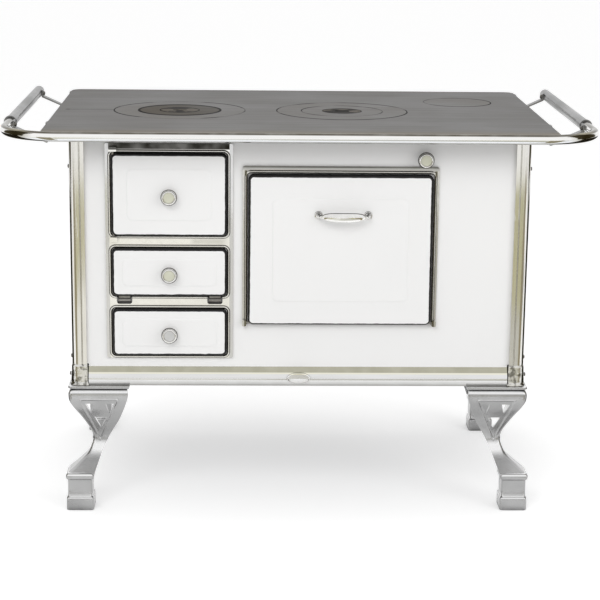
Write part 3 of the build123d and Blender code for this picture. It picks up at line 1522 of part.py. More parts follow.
leg_mirror = Plane(origin=(leg_corner_x, leg_corner_y, 0), z_dir=(1, -1, 0))
with BuildPart() as leg_shape:
    # The lip under the body, an L in plan.
    with BuildSketch(Plane.XY.offset(leg_body_top)):
        with BuildLine():
            lip_x = leg_corner_x - leg_lip_reach
            lip_y = leg_corner_y - leg_lip_reach
            lip_length = leg_arm_length + leg_lip_reach
            Polyline(
                (lip_x, lip_y),
                (lip_x + lip_length, lip_y),
                (lip_x + lip_length, lip_y + leg_lip_width),
                (lip_x + leg_lip_width, lip_y + leg_lip_width),
                (lip_x + leg_lip_width, lip_y + lip_length),
                (lip_x, lip_y + lip_length),
                close=True,
            )
        make_face()
        fillet(vertices().group_by(Axis.X)[0].sort_by(Axis.Y)[0], leg_lip_width / 4)
    lip = extrude(amount=leg_lip_height)
    lip_under = lip.faces().sort_by(Axis.Z)[0].edges()
    chamfer(lip_under.sort_by(Axis.Y)[:1] + lip_under.sort_by(Axis.X)[:1], leg_lip_height / 3)
    add(leg_arm.part)
    add(leg_border.part)
    add(mirror(leg_arm.part, about=leg_mirror, mode=Mode.PRIVATE))
    add(mirror(leg_border.part, about=leg_mirror, mode=Mode.PRIVATE))
    add(leg_foot.part)

for corner_name, signs in corner_signs.items():
    with BuildPart() as leg:
        add(at_corner(leg_shape.part, signs))
        for bolt_x, bolt_y in leg_bolt_spots[corner_name]:
            with Locations((bolt_x, bolt_y, leg_height)):
                Hole(leg_bolt_radius + leg_bolt_fit, leg_lip_height)
    leg.part.label = f"leg_{corner_name}"
    export_step(leg.part, f"parts/leg_{corner_name}.step")

print("overall", 2 * (rail_x + collar_radius), overall_depth, rail_z + collar_radius)
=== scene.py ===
import json
import math

import bmesh
import bpy
from mathutils import Matrix, Vector, geometry


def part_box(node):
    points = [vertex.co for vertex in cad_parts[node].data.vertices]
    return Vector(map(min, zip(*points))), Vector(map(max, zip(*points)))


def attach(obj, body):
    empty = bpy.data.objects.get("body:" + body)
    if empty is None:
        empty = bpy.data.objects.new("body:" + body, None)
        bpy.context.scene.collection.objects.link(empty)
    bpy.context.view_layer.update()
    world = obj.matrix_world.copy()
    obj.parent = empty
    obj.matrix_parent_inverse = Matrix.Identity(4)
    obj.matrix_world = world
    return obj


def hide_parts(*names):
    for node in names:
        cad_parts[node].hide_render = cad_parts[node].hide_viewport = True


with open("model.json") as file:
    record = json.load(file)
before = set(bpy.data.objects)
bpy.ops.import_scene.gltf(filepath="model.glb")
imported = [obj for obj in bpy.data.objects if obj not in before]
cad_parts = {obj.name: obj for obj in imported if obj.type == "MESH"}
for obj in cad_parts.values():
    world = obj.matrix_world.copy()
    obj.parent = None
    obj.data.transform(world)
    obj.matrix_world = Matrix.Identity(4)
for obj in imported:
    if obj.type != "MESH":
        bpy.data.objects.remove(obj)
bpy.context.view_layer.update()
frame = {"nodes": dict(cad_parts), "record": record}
scene = bpy.context.scene
mm = 0.001
print("stage: frame loaded,", len(frame["nodes"]), "nodes")

# the camera, solved from the picture's lines
camera = {
    "place": (-0.1067, -3.8051, 1.2699),
    "turnRight": 1.755,
    "tiltDown": 13.353,
    "roll": 0.63,
    "lens": 109.8,
    "sensor": 36.0,
}


def makeCamera(setup):
    turn, tilt, roll = (math.radians(setup[key]) for key in ("turnRight", "tiltDown", "roll"))
    ahead = Vector((math.sin(turn) * math.cos(tilt), math.cos(turn) * math.cos(tilt), -math.sin(tilt)))
    right = Vector((math.cos(turn), -math.sin(turn), 0))
    up = right.cross(ahead)
    rolledRight = math.cos(roll) * right + math.sin(roll) * up
    rolledUp = math.cos(roll) * up - math.sin(roll) * right
    data = bpy.data.cameras.new("photoCamera")
    data.lens = setup["lens"]
    data.sensor_width = setup["sensor"]
    data.clip_end = 200
    made = bpy.data.objects.new("photoCamera", data)
    turned = Matrix((rolledRight, rolledUp, -ahead)).transposed().to_4x4()
    made.matrix_world = Matrix.Translation(setup["place"]) @ turned
    scene.collection.objects.link(made)
    scene.camera = made


makeCamera(camera)

# short forms for building shader nodes


def setInput(tree, socket, value):
    if isinstance(value, bpy.types.NodeSocket):
        tree.links.new(value, socket)
    elif isinstance(value, tuple) and len(value) == 3 and socket.type == "RGBA":
        socket.default_value = (*value, 1)
    else:
        socket.default_value = value


def addNode(tree, kind, values=None, **settings):
    # values are given by an input's name or number
    made = tree.nodes.new("ShaderNode" + kind)
    for name, setting in settings.items():
        setattr(made, name, setting)
    for name, value in (values or {}).items():
        setInput(tree, made.inputs[name], value)
    return made


def calculate(tree, operation, *values):
    return addNode(tree, "Math", dict(enumerate(values)), operation=operation).outputs[0]


def times(tree, first, second):
    return calculate(tree, "MULTIPLY", first, second)


def plus(tree, first, second):
    return calculate(tree, "ADD", first, second)


def minus(tree, first, second):
    return calculate(tree, "SUBTRACT", first, second)


def vectorMath(tree, operation, *values):
    return addNode(tree, "VectorMath", dict(enumerate(values)), operation=operation).outputs


def axesOf(tree, vector):
    return addNode(tree, "SeparateXYZ", {"Vector": vector}).outputs


def mixColour(tree, factor, first, second):
    return addNode(tree, "Mix", {0: factor, 6: first, 7: second}, data_type="RGBA").outputs[2]


def remap(tree, value, low, high, newLow=0.0, newHigh=1.0):
    spans = {"From Min": low, "From Max": high, "To Min": newLow, "To Max": newHigh}
    return addNode(tree, "MapRange", {"Value": value, **spans}).outputs[0]


def noise(tree, place, scale, detail=3.0, roughness=0.5):
    values = {"Vector": place, "Scale": scale, "Detail": detail, "Roughness": roughness}
    return addNode(tree, "TexNoise", values).outputs[0]


def patches(tree, place, scale, detail):
    # broad, soft patches from 0 to 1
    return remap(tree, noise(tree, place, scale, detail), 0.35, 0.65)


def stretched(tree, place, stretch):
    return addNode(tree, "Mapping", {"Vector": place, "Scale": stretch}).outputs[0]


def bumpFrom(tree, height, distance, strength):
    return addNode(tree, "Bump", {"Height": height, "Distance": distance, "Strength": strength}).outputs[0]


def startGroup(name, **inputs):
    # a shader node group with a default for each of its named inputs
    tree = bpy.data.node_groups.new(name, "ShaderNodeTree")
    for label, value in inputs.items():
        kind = "NodeSocketVector" if isinstance(value, tuple) else "NodeSocketFloat"
        tree.interface.new_socket(name=label, in_out="INPUT", socket_type=kind).default_value = value
    given = tree.nodes.new("NodeGroupInput").outputs
    return tree, given, addNode(tree, "TexCoord").outputs["Object"]


def endGroup(tree, **masks):
    for label in masks:
        tree.interface.new_socket(name=label, in_out="OUTPUT", socket_type="NodeSocketFloat")
    result = tree.nodes.new("NodeGroupOutput").inputs
    for label, mask in masks.items():
        tree.links.new(mask, result[label])
    return tree


def useGroup(tree, group, **values):
    return addNode(tree, "Group", values, node_tree=group).outputs


def newMaterial(name):
    material = bpy.data.materials.new(name)
    material.use_nodes = True
    tree = material.node_tree
    return material, tree, addNode(tree, "TexCoord").outputs["Object"]


def setShader(material, values):
    tree = material.node_tree
    for name, value in values.items():
        setInput(tree, tree.nodes["Principled BSDF"].inputs[name], value)
    return material


# groups that several finishes share


def makeEdgeMask():
    # 1 along sharp edges, broken up so that the line isn't even; the finishes lay abrasion, painted
    # highlights and painted shade there
    tree, given, place = startGroup("edgeMask", Radius=0.001, Breakup=60.0)
    rounded = addNode(tree, "Bevel", {"Radius": given["Radius"]}, samples=4).outputs[0]
    flat = addNode(tree, "NewGeometry").outputs["Normal"]
    turned = remap(tree, vectorMath(tree, "DOT_PRODUCT", rounded, flat)["Value"], 0.995, 0.90)
    uneven = remap(tree, noise(tree, place, given["Breakup"]), 0.35, 0.6, 0.25, 1.0)
    return endGroup(tree, Mask=times(tree, turned, uneven))


def makeCornerDustAndShade():
    # 1 deep in corners, where dirt and grease gather and where the finishes also paint shade
    tree, given, place = startGroup("cornerDustAndShade", Reach=0.02, Breakup=40.0)
    openness = addNode(tree, "AmbientOcclusion", {"Distance": given["Reach"]}, samples=6).outputs["AO"]
    closed = remap(tree, openness, 0.9, 0.25)
    uneven = remap(tree, noise(tree, place, given["Breakup"]), 0.3, 0.7, 0.55, 1.0)
    return endGroup(tree, Mask=times(tree, closed, uneven))


def makeRubbedGrain():
    # fine lines along one direction, with a broad haze over them
    tree, given, place = startGroup("rubbedGrain", Stretch=(1.0, 1.0, 1.0), Fineness=400.0, Haze=6.0)
    along = stretched(tree, place, given["Stretch"])
    fine = noise(tree, along, given["Fineness"], 2.0)
    coarse = noise(tree, along, times(tree, given["Fineness"], 0.22), 2.0)
    both = plus(tree, times(tree, fine, 0.6), times(tree, coarse, 0.4))
    return endGroup(tree, Lines=remap(tree, both, 0.35, 0.65), Haze=patches(tree, place, given["Haze"], 4.0))


def makeScratches():
    # a few long thin marks across a grain direction
    tree, given, place = startGroup("scratches", Stretch=(1.0, 1.0, 1.0), Scale=60.0, Amount=0.1)
    along = stretched(tree, place, given["Stretch"])
    field = noise(tree, along, given["Scale"], 1.0, 0.3)
    thin = remap(tree, calculate(tree, "ABSOLUTE", minus(tree, field, 0.5)), 0.0, 0.012, 1.0, 0.0)
    places = remap(tree, noise(tree, place, 9.0, 2.0), 0.3, 0.7)
    few = calculate(tree, "GREATER_THAN", places, minus(tree, 1.0, given["Amount"]))
    return endGroup(tree, Mask=times(tree, thin, few))


def makeCastGrain():
    # the fine sand texture of a casting, with shallow hollows
    tree, given, place = startGroup("castGrain", Grit=900.0, Hollows=55.0)
    grit = noise(tree, place, given["Grit"], 3.0, 0.6)
    hollows = noise(tree, place, given["Hollows"], 3.0)
    height = plus(tree, times(tree, grit, 0.4), times(tree, hollows, 0.6))
    cells = addNode(tree, "TexVoronoi", {"Vector": place, "Scale": times(tree, given["Hollows"], 2.4)})
    pits = remap(tree, cells.outputs["Distance"], 0.04, 0.14, 1.0, 0.0)
    return endGroup(tree, Height=height, Pits=pits)


def makeEnamelSkin():
    # the slight ripple and uneven gloss of fired enamel
    tree, given, place = startGroup("enamelSkin", Peel=220.0, Wave=9.0)
    peel = noise(tree, place, given["Peel"], 2.0)
    wave = noise(tree, place, given["Wave"], 1.0)
    height = plus(tree, times(tree, peel, 0.12), times(tree, wave, 0.88))
    return endGroup(tree, Height=height, Gloss=patches(tree, place, 14.0, 5.0))


def makeRingGapShade():
    # 1 along a circle on the plate, as painted shade in the gap round a lid, broken up by noise
    tree, given, place = startGroup(
        "ringGapShade", Centre=(0.0, 0.0, 0.0), Radius=0.1, Width=0.0012, Breakup=9.0, Least=0.1,
    )
    away = vectorMath(tree, "SUBTRACT", place, given["Centre"])[0]
    level = stretched(tree, away, (1.0, 1.0, 0.0))
    reach = vectorMath(tree, "LENGTH", level)["Value"]
    off = calculate(tree, "ABSOLUTE", minus(tree, reach, given["Radius"]))
    # it is made widest at the front and the back, along Y
    sideways = calculate(tree, "ABSOLUTE", axesOf(tree, level)["Y"])
    dragged = plus(tree, 1.0, times(tree, calculate(tree, "DIVIDE", sideways, reach), 2.0))
    ratio = calculate(tree, "DIVIDE", off, times(tree, given["Width"], dragged))
    line = remap(tree, ratio, 0.75, 1.0, 1.0, 0.0)
    uneven = remap(tree, noise(tree, place, given["Breakup"], 1.0), 0.44, 0.52, given["Least"], 1.0)
    return endGroup(tree, Mask=times(tree, line, uneven))


def makeBoxMask():
    # 1 inside a box, fading at its faces, with a slight mottle
    tree, given, place = startGroup(
        "boxMask", Low=(0.0, 0.0, 0.0), High=(1.0, 1.0, 1.0), Soft=0.0015, Breakup=28.0,
    )
    mask = remap(tree, noise(tree, place, given["Breakup"], 2.0), 0.3, 0.6, 0.86, 1.0)
    for first, second in ((place, given["Low"]), (given["High"], place)):
        for distance in axesOf(tree, vectorMath(tree, "SUBTRACT", first, second)[0]):
            mask = times(tree, mask, remap(tree, distance, 0.0, given["Soft"]))
    return endGroup(tree, Mask=mask)


def makeFacing():
    # how far a surface looks up or down, in its own piece's frame
    tree, given, place = startGroup("facing", Start=0.35, End=0.8)
    upward = axesOf(tree, place.node.outputs["Normal"])["Z"]
    up = remap(tree, upward, given["Start"], given["End"])
    down = remap(tree, times(tree, upward, -1.0), given["Start"], given["End"])
    return endGroup(tree, Up=up, Down=down)


edgeMask = makeEdgeMask()
cornerDustAndShade = makeCornerDustAndShade()
rubbedGrain = makeRubbedGrain()
scratches = makeScratches()
castGrain = makeCastGrain()
enamelSkin = makeEnamelSkin()
ringGapShade = makeRingGapShade()
boxMask = makeBoxMask()
facing = makeFacing()

# finishes: each look has its colours, its spread of roughness and the depth of its relief


def layered(tree, colour, layers):
    # lays colours over the first one: rows of mask, amount and colour
    for mask, amount, over in layers:
        colour = mixColour(tree, times(tree, mask, amount), colour, over)
    return colour


def tintBox(colour, soft, x=(-1, 1), y=(-1, 1), z=(-1, 1)):
    # a box with another colour: its fading edge in millimetres, its spans in metres
    low, high = zip(x, y, z)
    return {"Low": low, "High": high, "Soft": soft * mm}, colour


def addTintBoxes(tree, colour, look):
    for box, over in look.get("tintBoxes", ()):
        colour = mixColour(tree, useGroup(tree, boxMask, **box)["Mask"], colour, over)
    return colour


enamelLook = {
    "light": (0.885, 0.882, 0.876), "shade": (0.865, 0.863, 0.858), "border": (0.006, 0.0055, 0.006),
    "inCorners": (0.50, 0.47, 0.42), "roughness": (0.10, 0.20), "depth": 0.0012,
}


def makeEnamel(name, look, bordered=False):
    material, tree, place = newMaterial(name)
    skin = useGroup(tree, enamelSkin)
    # painted shade, with some dirt, darkens the enamel in its corners
    inCorners = useGroup(tree, cornerDustAndShade, Reach=0.012)["Mask"]
    colour = mixColour(tree, patches(tree, place, 2.2, 2.0), look["light"], look["shade"])
    colour = layered(tree, colour, [(inCorners, 0.35, look["inCorners"])])
    if bordered:
        # the mesh says where the black border is, and its edge wavers a little; the border is black enamel
        # widened by painted shade of the gap round the leaf
        rim = addNode(tree, "Attribute", attribute_name="border").outputs["Fac"]
        uneven = times(tree, minus(tree, noise(tree, place, 90.0), 0.5), 0.10)
        colour = mixColour(tree, remap(tree, plus(tree, rim, uneven), 0.485, 0.515), colour, look["border"])
    roughness = remap(tree, skin["Gloss"], 0.0, 1.0, *look["roughness"])
    return setShader(material, {
        "Base Color": colour,
        "Roughness": plus(tree, roughness, times(tree, inCorners, 0.2)),
        "Coat Weight": 0.08,
        "Coat Roughness": 0.05,
        "Specular IOR Level": 0.25,
        "Normal": bumpFrom(tree, skin["Height"], look["depth"], 0.35),
    })


def makeMetal(name, look, **changes):
    # plated, rolled or blued steel: lines from rubbing, haze, edges lightened by abrasion and painted
    # highlight, corners darkened by dirt and painted shade
    look = dict(look, **changes)
    material, tree, place = newMaterial(name)
    grain = useGroup(tree, rubbedGrain, Stretch=look["stretch"], Fineness=look["fineness"])
    brightEdges = useGroup(tree, edgeMask, Radius=look["edge"])["Mask"]
    inCorners = useGroup(tree, cornerDustAndShade, Reach=0.006)["Mask"]
    marks = useGroup(tree, scratches, Stretch=look["stretch"], Amount=look["marks"])["Mask"]
    colour = mixColour(tree, grain["Lines"], look["light"], look["shade"])
    layers = [(grain["Haze"], 0.35, look["haze"]), (brightEdges, 0.6, look["brightened"]), (inCorners, 0.7, look["grimeAndShade"])]
    colour = addTintBoxes(tree, layered(tree, colour, layers), look)
    if "mottle" in look:
        spots = remap(tree, noise(tree, place, 95.0, 3.0), 0.50, 0.60, 0.0, 0.85)
        colour = mixColour(tree, spots, colour, look["mottle"])
    # a painted dark reflection on the surfaces that face up
    if "crown" in look:
        turnedUp = useGroup(tree, facing, Start=0.50, End=0.75)["Up"]
        colour = mixColour(tree, turnedUp, colour, look["crown"])
    roughness = remap(tree, grain["Haze"], 0.0, 1.0, *look["roughness"])
    roughness = plus(tree, roughness, times(tree, inCorners, 0.25))
    height = minus(tree, times(tree, grain["Lines"], 0.5), marks)
    return setShader(material, {
        "Base Color": colour,
        "Metallic": 1.0,
        "Roughness": plus(tree, roughness, times(tree, marks, 0.15)),
        "Normal": bumpFrom(tree, height, look["depth"], 0.4),
    })


chromeLook = {
    "light": (0.80, 0.79, 0.76), "shade": (0.72, 0.71, 0.67), "haze": (0.67, 0.655, 0.61),
    "brightened": (0.86, 0.85, 0.82), "grimeAndShade": (0.10, 0.09, 0.07), "edge": 0.0008, "marks": 0.12,
    "roughness": (0.06, 0.13), "fineness": 300.0, "depth": 0.00005, "stretch": (1.0, 1.0, 0.06),
}
frameChromeLook = dict(chromeLook, stretch=(0.3, 1.0, 0.3))
fireDoorLow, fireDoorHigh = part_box("fire_door")
flapLow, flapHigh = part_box("draught_flap")
columnLow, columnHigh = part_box("column_frame")
sideBarReflectionGrey = (0.62, 0.62, 0.62)
headLook = dict(
    frameChromeLook, light=(0.90, 0.89, 0.86), shade=(0.84, 0.83, 0.79), haze=(0.80, 0.79, 0.74), tintBoxes=[
        # painted reflections: the dark head under the plate's overhang, a darker end of the upper bar near
        # the oven, and the two greyer side bars
        tintBox((0.014, 0.0128, 0.009), 1.5, x=(columnLow.x + 2 * mm, columnHigh.x - 2 * mm),
              z=(fireDoorHigh.z + 6 * mm, columnHigh.z + 2 * mm)),
        tintBox((0.42, 0.41, 0.37), 12, x=(fireDoorHigh.x - 75 * mm, fireDoorHigh.x + 2 * mm),
              z=(flapHigh.z + 5 * mm, fireDoorLow.z - 4 * mm)),
        tintBox(sideBarReflectionGrey, 1, x=(-1, fireDoorLow.x - 4 * mm)),
        tintBox(sideBarReflectionGrey, 1, x=(fireDoorHigh.x + 4 * mm, 1)),
    ],
)
ovenFrameLow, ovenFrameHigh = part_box("oven_frame")
paintedBronzeReflection = (0.13, 0.118, 0.078)
belowHead = (0, ovenFrameHigh.z - 8 * mm)
ovenFrameLook = dict(
    frameChromeLook, light=(0.60, 0.59, 0.555), shade=(0.52, 0.51, 0.475), haze=(0.46, 0.45, 0.41), tintBoxes=[
        # painted reflections: a dark brown strip beside each upright's bright edge, and a darker band with a
        # dark line along the top
        tintBox(paintedBronzeReflection, 0.8, x=(ovenFrameLow.x + 3.5 * mm, ovenFrameLow.x + 9 * mm), z=belowHead),
        tintBox(paintedBronzeReflection, 0.8, x=(ovenFrameHigh.x - 9 * mm, ovenFrameHigh.x - 3.5 * mm), z=belowHead),
        tintBox((0.36, 0.355, 0.335), 3, z=(ovenFrameHigh.z - 9 * mm, 1)),
        tintBox((0.12, 0.118, 0.105), 1, z=(ovenFrameHigh.z - 3.5 * mm, 1)),
    ],
)
skirtLow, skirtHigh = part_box("skirt")
skirtLook = dict(
    chromeLook, light=(0.80, 0.80, 0.80), shade=(0.74, 0.74, 0.74), haze=(0.70, 0.70, 0.69),
    stretch=(0.05, 1.0, 1.0), tintBoxes=[
        # painted shade towards the bottom, and along the top an olive painted reflection band with a cream
        # painted highlight line under it
        tintBox((0.52, 0.52, 0.51), 14, z=(-1, skirtLow.z + 19 * mm)),
        tintBox((0.34, 0.335, 0.32), 4, z=(-1, skirtLow.z + 5 * mm)),
        tintBox((0.82, 0.80, 0.68), 1, z=(skirtHigh.z - 14.5 * mm, 1)),
        tintBox((0.42, 0.41, 0.325), 1, z=(skirtHigh.z - 11.5 * mm, 1)),
    ],
)
railLow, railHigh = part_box("rail_front")
cornerLow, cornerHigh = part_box("rail_corner_left")
paintedReflectionOlive = (0.30, 0.27, 0.19)
endY = (-1, cornerLow.y + 70 * mm)
railLook = dict(
    chromeLook, light=(0.92, 0.915, 0.90), shade=(0.87, 0.865, 0.85), haze=(0.84, 0.835, 0.82),
    stretch=(0.05, 0.2, 1.0), tintBoxes=[
        # painted reflections: cooler below with painted shade along the lower edge, a brown reflection of
        # the plate along the top, and dark olive at both ends
        tintBox((0.72, 0.735, 0.75), 1.5, z=(-1, railLow.z + 9.5 * mm)),
        tintBox((0.38, 0.375, 0.36), 3, z=(-1, railLow.z + 4.5 * mm)),
        tintBox((0.12, 0.108, 0.085), 1.5, z=(railHigh.z - 3.8 * mm, 1)),
        tintBox(paintedReflectionOlive, 32, x=(-1, cornerLow.x + 75 * mm), y=endY),
        tintBox(paintedReflectionOlive, 32, x=(-cornerLow.x - 75 * mm, 1), y=endY),
    ],
)
satinLook = dict(
    chromeLook, light=(0.265, 0.265, 0.265), shade=(0.21, 0.21, 0.21), haze=(0.19, 0.19, 0.185),
    brightened=(0.66, 0.66, 0.65), roughness=(0.24, 0.36), stretch=(1.0, 0.05, 1.0),
)
evenLook = dict(chromeLook, stretch=(1.0, 1.0, 1.0))
boltLook = dict(
    evenLook, light=(0.30, 0.29, 0.27), shade=(0.20, 0.19, 0.18), haze=(0.16, 0.15, 0.13),
    roughness=(0.30, 0.45),
)
seamLook = dict(
    boltLook, light=(0.05, 0.048, 0.044), shade=(0.03, 0.028, 0.025), haze=(0.04, 0.036, 0.03),
    brightened=(0.09, 0.085, 0.08),
)
innerLook = dict(
    chromeLook, light=(0.20, 0.20, 0.21), shade=(0.13, 0.13, 0.14), haze=(0.10, 0.09, 0.08),
    brightened=(0.4, 0.4, 0.4), roughness=(0.38, 0.55), stretch=(1.0, 0.2, 1.0),
)
knobLook = dict(evenLook, light=(0.84, 0.835, 0.82), shade=(0.76, 0.755, 0.74), haze=(0.66, 0.655, 0.63))
bootLook = dict(
    evenLook, fineness=85.0, depth=0.0009, light=(0.66, 0.655, 0.63), mottle=(0.16, 0.155, 0.135),
    roughness=(0.14, 0.24),
)

ironLook = {
    "light": (0.214, 0.211, 0.208), "shade": (0.168, 0.165, 0.162), "warm": (0.176, 0.156, 0.128),
    "brightened": (0.28, 0.275, 0.265), "grimeAndShade": (0.008, 0.007, 0.006), "roughness": (0.46, 0.60),
    "depth": 0.00015,
}
brownLook = dict(
    ironLook, light=(0.104, 0.098, 0.088), shade=(0.074, 0.068, 0.059), warm=(0.090, 0.075, 0.058),
    brightened=(0.17, 0.16, 0.145),
)
plateLow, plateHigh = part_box("top_plate")
ringLow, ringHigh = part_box("left_outer_ring")
ringMiddleY = (ringLow.y + ringHigh.y) / 2
plateLook = dict(ironLook, tintBoxes=[
    # a browned front edge, painted shade in the slot beside the left burner, and a burnt spot at its far end
    tintBox((0.206, 0.186, 0.156), 35, y=(-1, plateLow.y + 45 * mm)),
    tintBox((0.03, 0.028, 0.025), 0.6, x=(plateLow.x + 30 * mm, ringLow.x + 4 * mm),
          y=(ringMiddleY - 1.6 * mm, ringMiddleY + 1.6 * mm)),
    tintBox((0.05, 0.046, 0.042), 6, x=(plateLow.x + 16 * mm, plateLow.x + 31 * mm),
          y=(ringMiddleY - 9 * mm, ringMiddleY + 8 * mm)),
])
# each lid, with the least that noise leaves of the painted shade in its gap, and half the width of that line
lidGaps = {
    "left_outer_ring": (0.12, 1.3 * mm), "left_inner_ring": (0.92, 2.6 * mm), "left_cap": (0.4, 1.4 * mm),
    "middle_outer_ring": (0.15, 1.3 * mm), "middle_inner_ring": (0.12, 1.2 * mm),
    "middle_cap": (0.4, 1.4 * mm), "flue_cover": (0.2, 1.2 * mm),
}


def makeGroundIron(name, look, warmth=0.1, burnt=False):
    # the surface-ground cooking plate: grinding lines along X, heat tint, greasy film
    material, tree, place = newMaterial(name)
    grain = useGroup(tree, rubbedGrain, Stretch=(0.03, 1.0, 1.0), Fineness=260.0, Haze=5.0)
    cast = useGroup(tree, castGrain)
    marks = useGroup(tree, scratches, Stretch=(0.04, 1.0, 1.0), Scale=30.0, Amount=0.35)["Mask"]
    # soot along the plate's and lids' edges, with painted shade of the gaps
    soot = useGroup(tree, edgeMask, Radius=0.0014, Breakup=13.0)["Mask"]
    inCorners = useGroup(tree, cornerDustAndShade, Reach=0.004)["Mask"]
    colour = mixColour(tree, grain["Lines"], look["light"], look["shade"])
    layers = [(grain["Haze"], warmth, look["warm"]), (marks, 0.25, look["brightened"]), (soot, 0.8, look["grimeAndShade"])]
    colour = addTintBoxes(tree, layered(tree, colour, layers), look)
    if burnt:
        crust = remap(tree, noise(tree, place, 24.0, 3.0), 0.46, 0.52, 0.0, 0.9)
        colour = mixColour(tree, crust, colour, look["grimeAndShade"])
    # painted shade in the gap round each lid
    for node, (least, width) in lidGaps.items():
        low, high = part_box(node)
        middle, radius = tuple((low + high) / 2), (high.x - low.x) / 2
        gap = useGroup(tree, ringGapShade, Centre=middle, Radius=radius, Least=least, Width=width)["Mask"]
        colour = mixColour(tree, gap, colour, look["grimeAndShade"])
    # painted shade, with dirt, in the corners
    colour = layered(tree, colour, [(inCorners, 0.8, look["grimeAndShade"])])
    height = plus(tree, grain["Lines"], times(tree, cast["Height"], 0.35))
    return setShader(material, {
        "Base Color": colour,
        "Roughness": remap(tree, grain["Haze"], 0.0, 1.0, *look["roughness"]),
        "Specular IOR Level": 0.2,
        "IOR": 1.15,
        "Normal": bumpFrom(tree, height, look["depth"], 0.5),
    })


silverLook = {
    "light": (0.43, 0.43, 0.43), "shade": (0.34, 0.34, 0.34), "brightened": (0.95, 0.95, 0.95),
    "grimeAndShade": (0.055, 0.055, 0.055), "roughness": (0.17, 0.28), "depth": 0.0006,
}


def makeSilverPaint(name, look):
    # aluminium paint over a sand casting
    material, tree, place = newMaterial(name)
    cast = useGroup(tree, castGrain, Grit=700.0, Hollows=38.0)
    brightEdges = useGroup(tree, edgeMask, Radius=0.002)["Mask"]
    inCorners = useGroup(tree, cornerDustAndShade, Reach=0.014)["Mask"]
    broad = patches(tree, place, 11.0, 4.0)
    colour = mixColour(tree, broad, look["light"], look["shade"])
    # edges lightened by abrasion and by painted highlight
    colour = layered(tree, colour, [(brightEdges, 0.55, look["brightened"])])
    # painted highlights on the surfaces that tilt up a little, and on the ledges' tops
    tilted = useGroup(tree, facing, Start=0.16, End=0.34)["Up"]
    steep = useGroup(tree, facing, Start=0.46, End=0.68)["Up"]
    level = useGroup(tree, facing, Start=0.85, End=0.97)["Up"]
    under = useGroup(tree, facing, Start=0.6, End=0.95)["Down"]
    paintedHighlight = times(tree, tilted, remap(tree, steep, 0.0, 1.0, 0.85, 0.15))
    paintedHighlight = calculate(tree, "MAXIMUM", paintedHighlight, times(tree, level, 0.9))
    colour = mixColour(tree, paintedHighlight, colour, look["brightened"])
    # painted shade on the undersides and in the corners
    colour = layered(tree, colour, [(under, 0.8, look["grimeAndShade"]), (inCorners, 0.75, look["grimeAndShade"])])
    roughness = remap(tree, broad, 0.0, 1.0, *look["roughness"])
    height = minus(tree, cast["Height"], times(tree, cast["Pits"], 0.3))
    return setShader(material, {
        "Base Color": colour,
        "Metallic": 0.88,
        "Roughness": plus(tree, roughness, times(tree, inCorners, 0.2)),
        "Normal": bumpFrom(tree, height, look["depth"], 0.5),
    })


discLook = {
    "light": (0.62, 0.62, 0.50), "shade": (0.52, 0.52, 0.41), "rim": (0.10, 0.095, 0.07),
    "roughness": (0.14, 0.24), "depth": 0.0003,
}


def makeDiscEnamel(name, look):
    # the inlay of a knob, with painted shade where it meets the ring
    material, tree, place = newMaterial(name)
    skin = useGroup(tree, enamelSkin, Peel=400.0, Wave=60.0)
    inCorners = useGroup(tree, cornerDustAndShade, Reach=0.002)["Mask"]
    colour = mixColour(tree, patches(tree, place, 30.0, 3.0), look["light"], look["shade"])
    return setShader(material, {
        "Base Color": layered(tree, colour, [(inCorners, 0.9, look["rim"])]),
        "Roughness": remap(tree, skin["Gloss"], 0.0, 1.0, *look["roughness"]),
        "Coat Weight": 0.3,
        "Normal": bumpFrom(tree, skin["Height"], look["depth"], 0.3),
    })


fireLook = {
    "light": (0.035, 0.032, 0.030), "shade": (0.075, 0.065, 0.058), "ash": (0.16, 0.15, 0.14),
    "roughness": (0.62, 0.85), "depth": 0.0012,
}


def makeFireIron(name, look):
    # rough casting blackened by the fire, with ash in its corners
    material, tree, place = newMaterial(name)
    cast = useGroup(tree, castGrain, Grit=500.0, Hollows=60.0)
    inCorners = useGroup(tree, cornerDustAndShade, Reach=0.05)["Mask"]
    soot = patches(tree, place, 18.0, 5.0)
    colour = mixColour(tree, soot, look["light"], look["shade"])
    return setShader(material, {
        "Base Color": layered(tree, colour, [(inCorners, 0.35, look["ash"])]),
        "Metallic": 0.2,
        "Roughness": remap(tree, soot, 0.0, 1.0, *look["roughness"]),
        "Normal": bumpFrom(tree, cast["Height"], look["depth"], 0.7),
    })


slotFinish = {
    "plate_iron": makeGroundIron("groundIron", plateLook),
    "lid_iron": makeGroundIron("lidIron", ironLook, warmth=0.3),
    "rail_chrome": makeMetal("railChrome", railLook),
    "rail_steel": makeMetal("satinSteel", satinLook),
    "bolt_steel": makeMetal("boltSteel", boltLook),
    "post_chrome": makeMetal("postChrome", chromeLook),
    "enamel": makeEnamel("whiteEnamel", enamelLook),
    "skirt_steel": makeMetal("skirtSteel", skirtLook),
    "frame_chrome": makeMetal("frameChrome", headLook),
    "knob_chrome": makeMetal("knobChrome", knobLook),
    "inner_steel": makeMetal("innerSteel", innerLook),
    "fire_iron": makeFireIron("fireIron", fireLook),
    "shelf_wire": makeMetal("shelfWire", satinLook, stretch=(0.1, 1.0, 1.0)),
    "leg_paint": makeSilverPaint("silverPaint", silverLook),
}
# the lids over the fire are browned by its heat, and the oven's frame is darker chrome with brownish painted
# reflections
capFinish = makeGroundIron("burntIron", dict(brownLook, light=(0.135, 0.118, 0.096)), warmth=0.6, burnt=True)
nodeFinish = {
    "left_inner_ring": makeGroundIron("brownedIron", brownLook, warmth=0.6),
    "left_cap": capFinish,
    "middle_cap": capFinish,
    "oven_frame": makeMetal("ovenFrameChromePaintedReflections", ovenFrameLook),
}
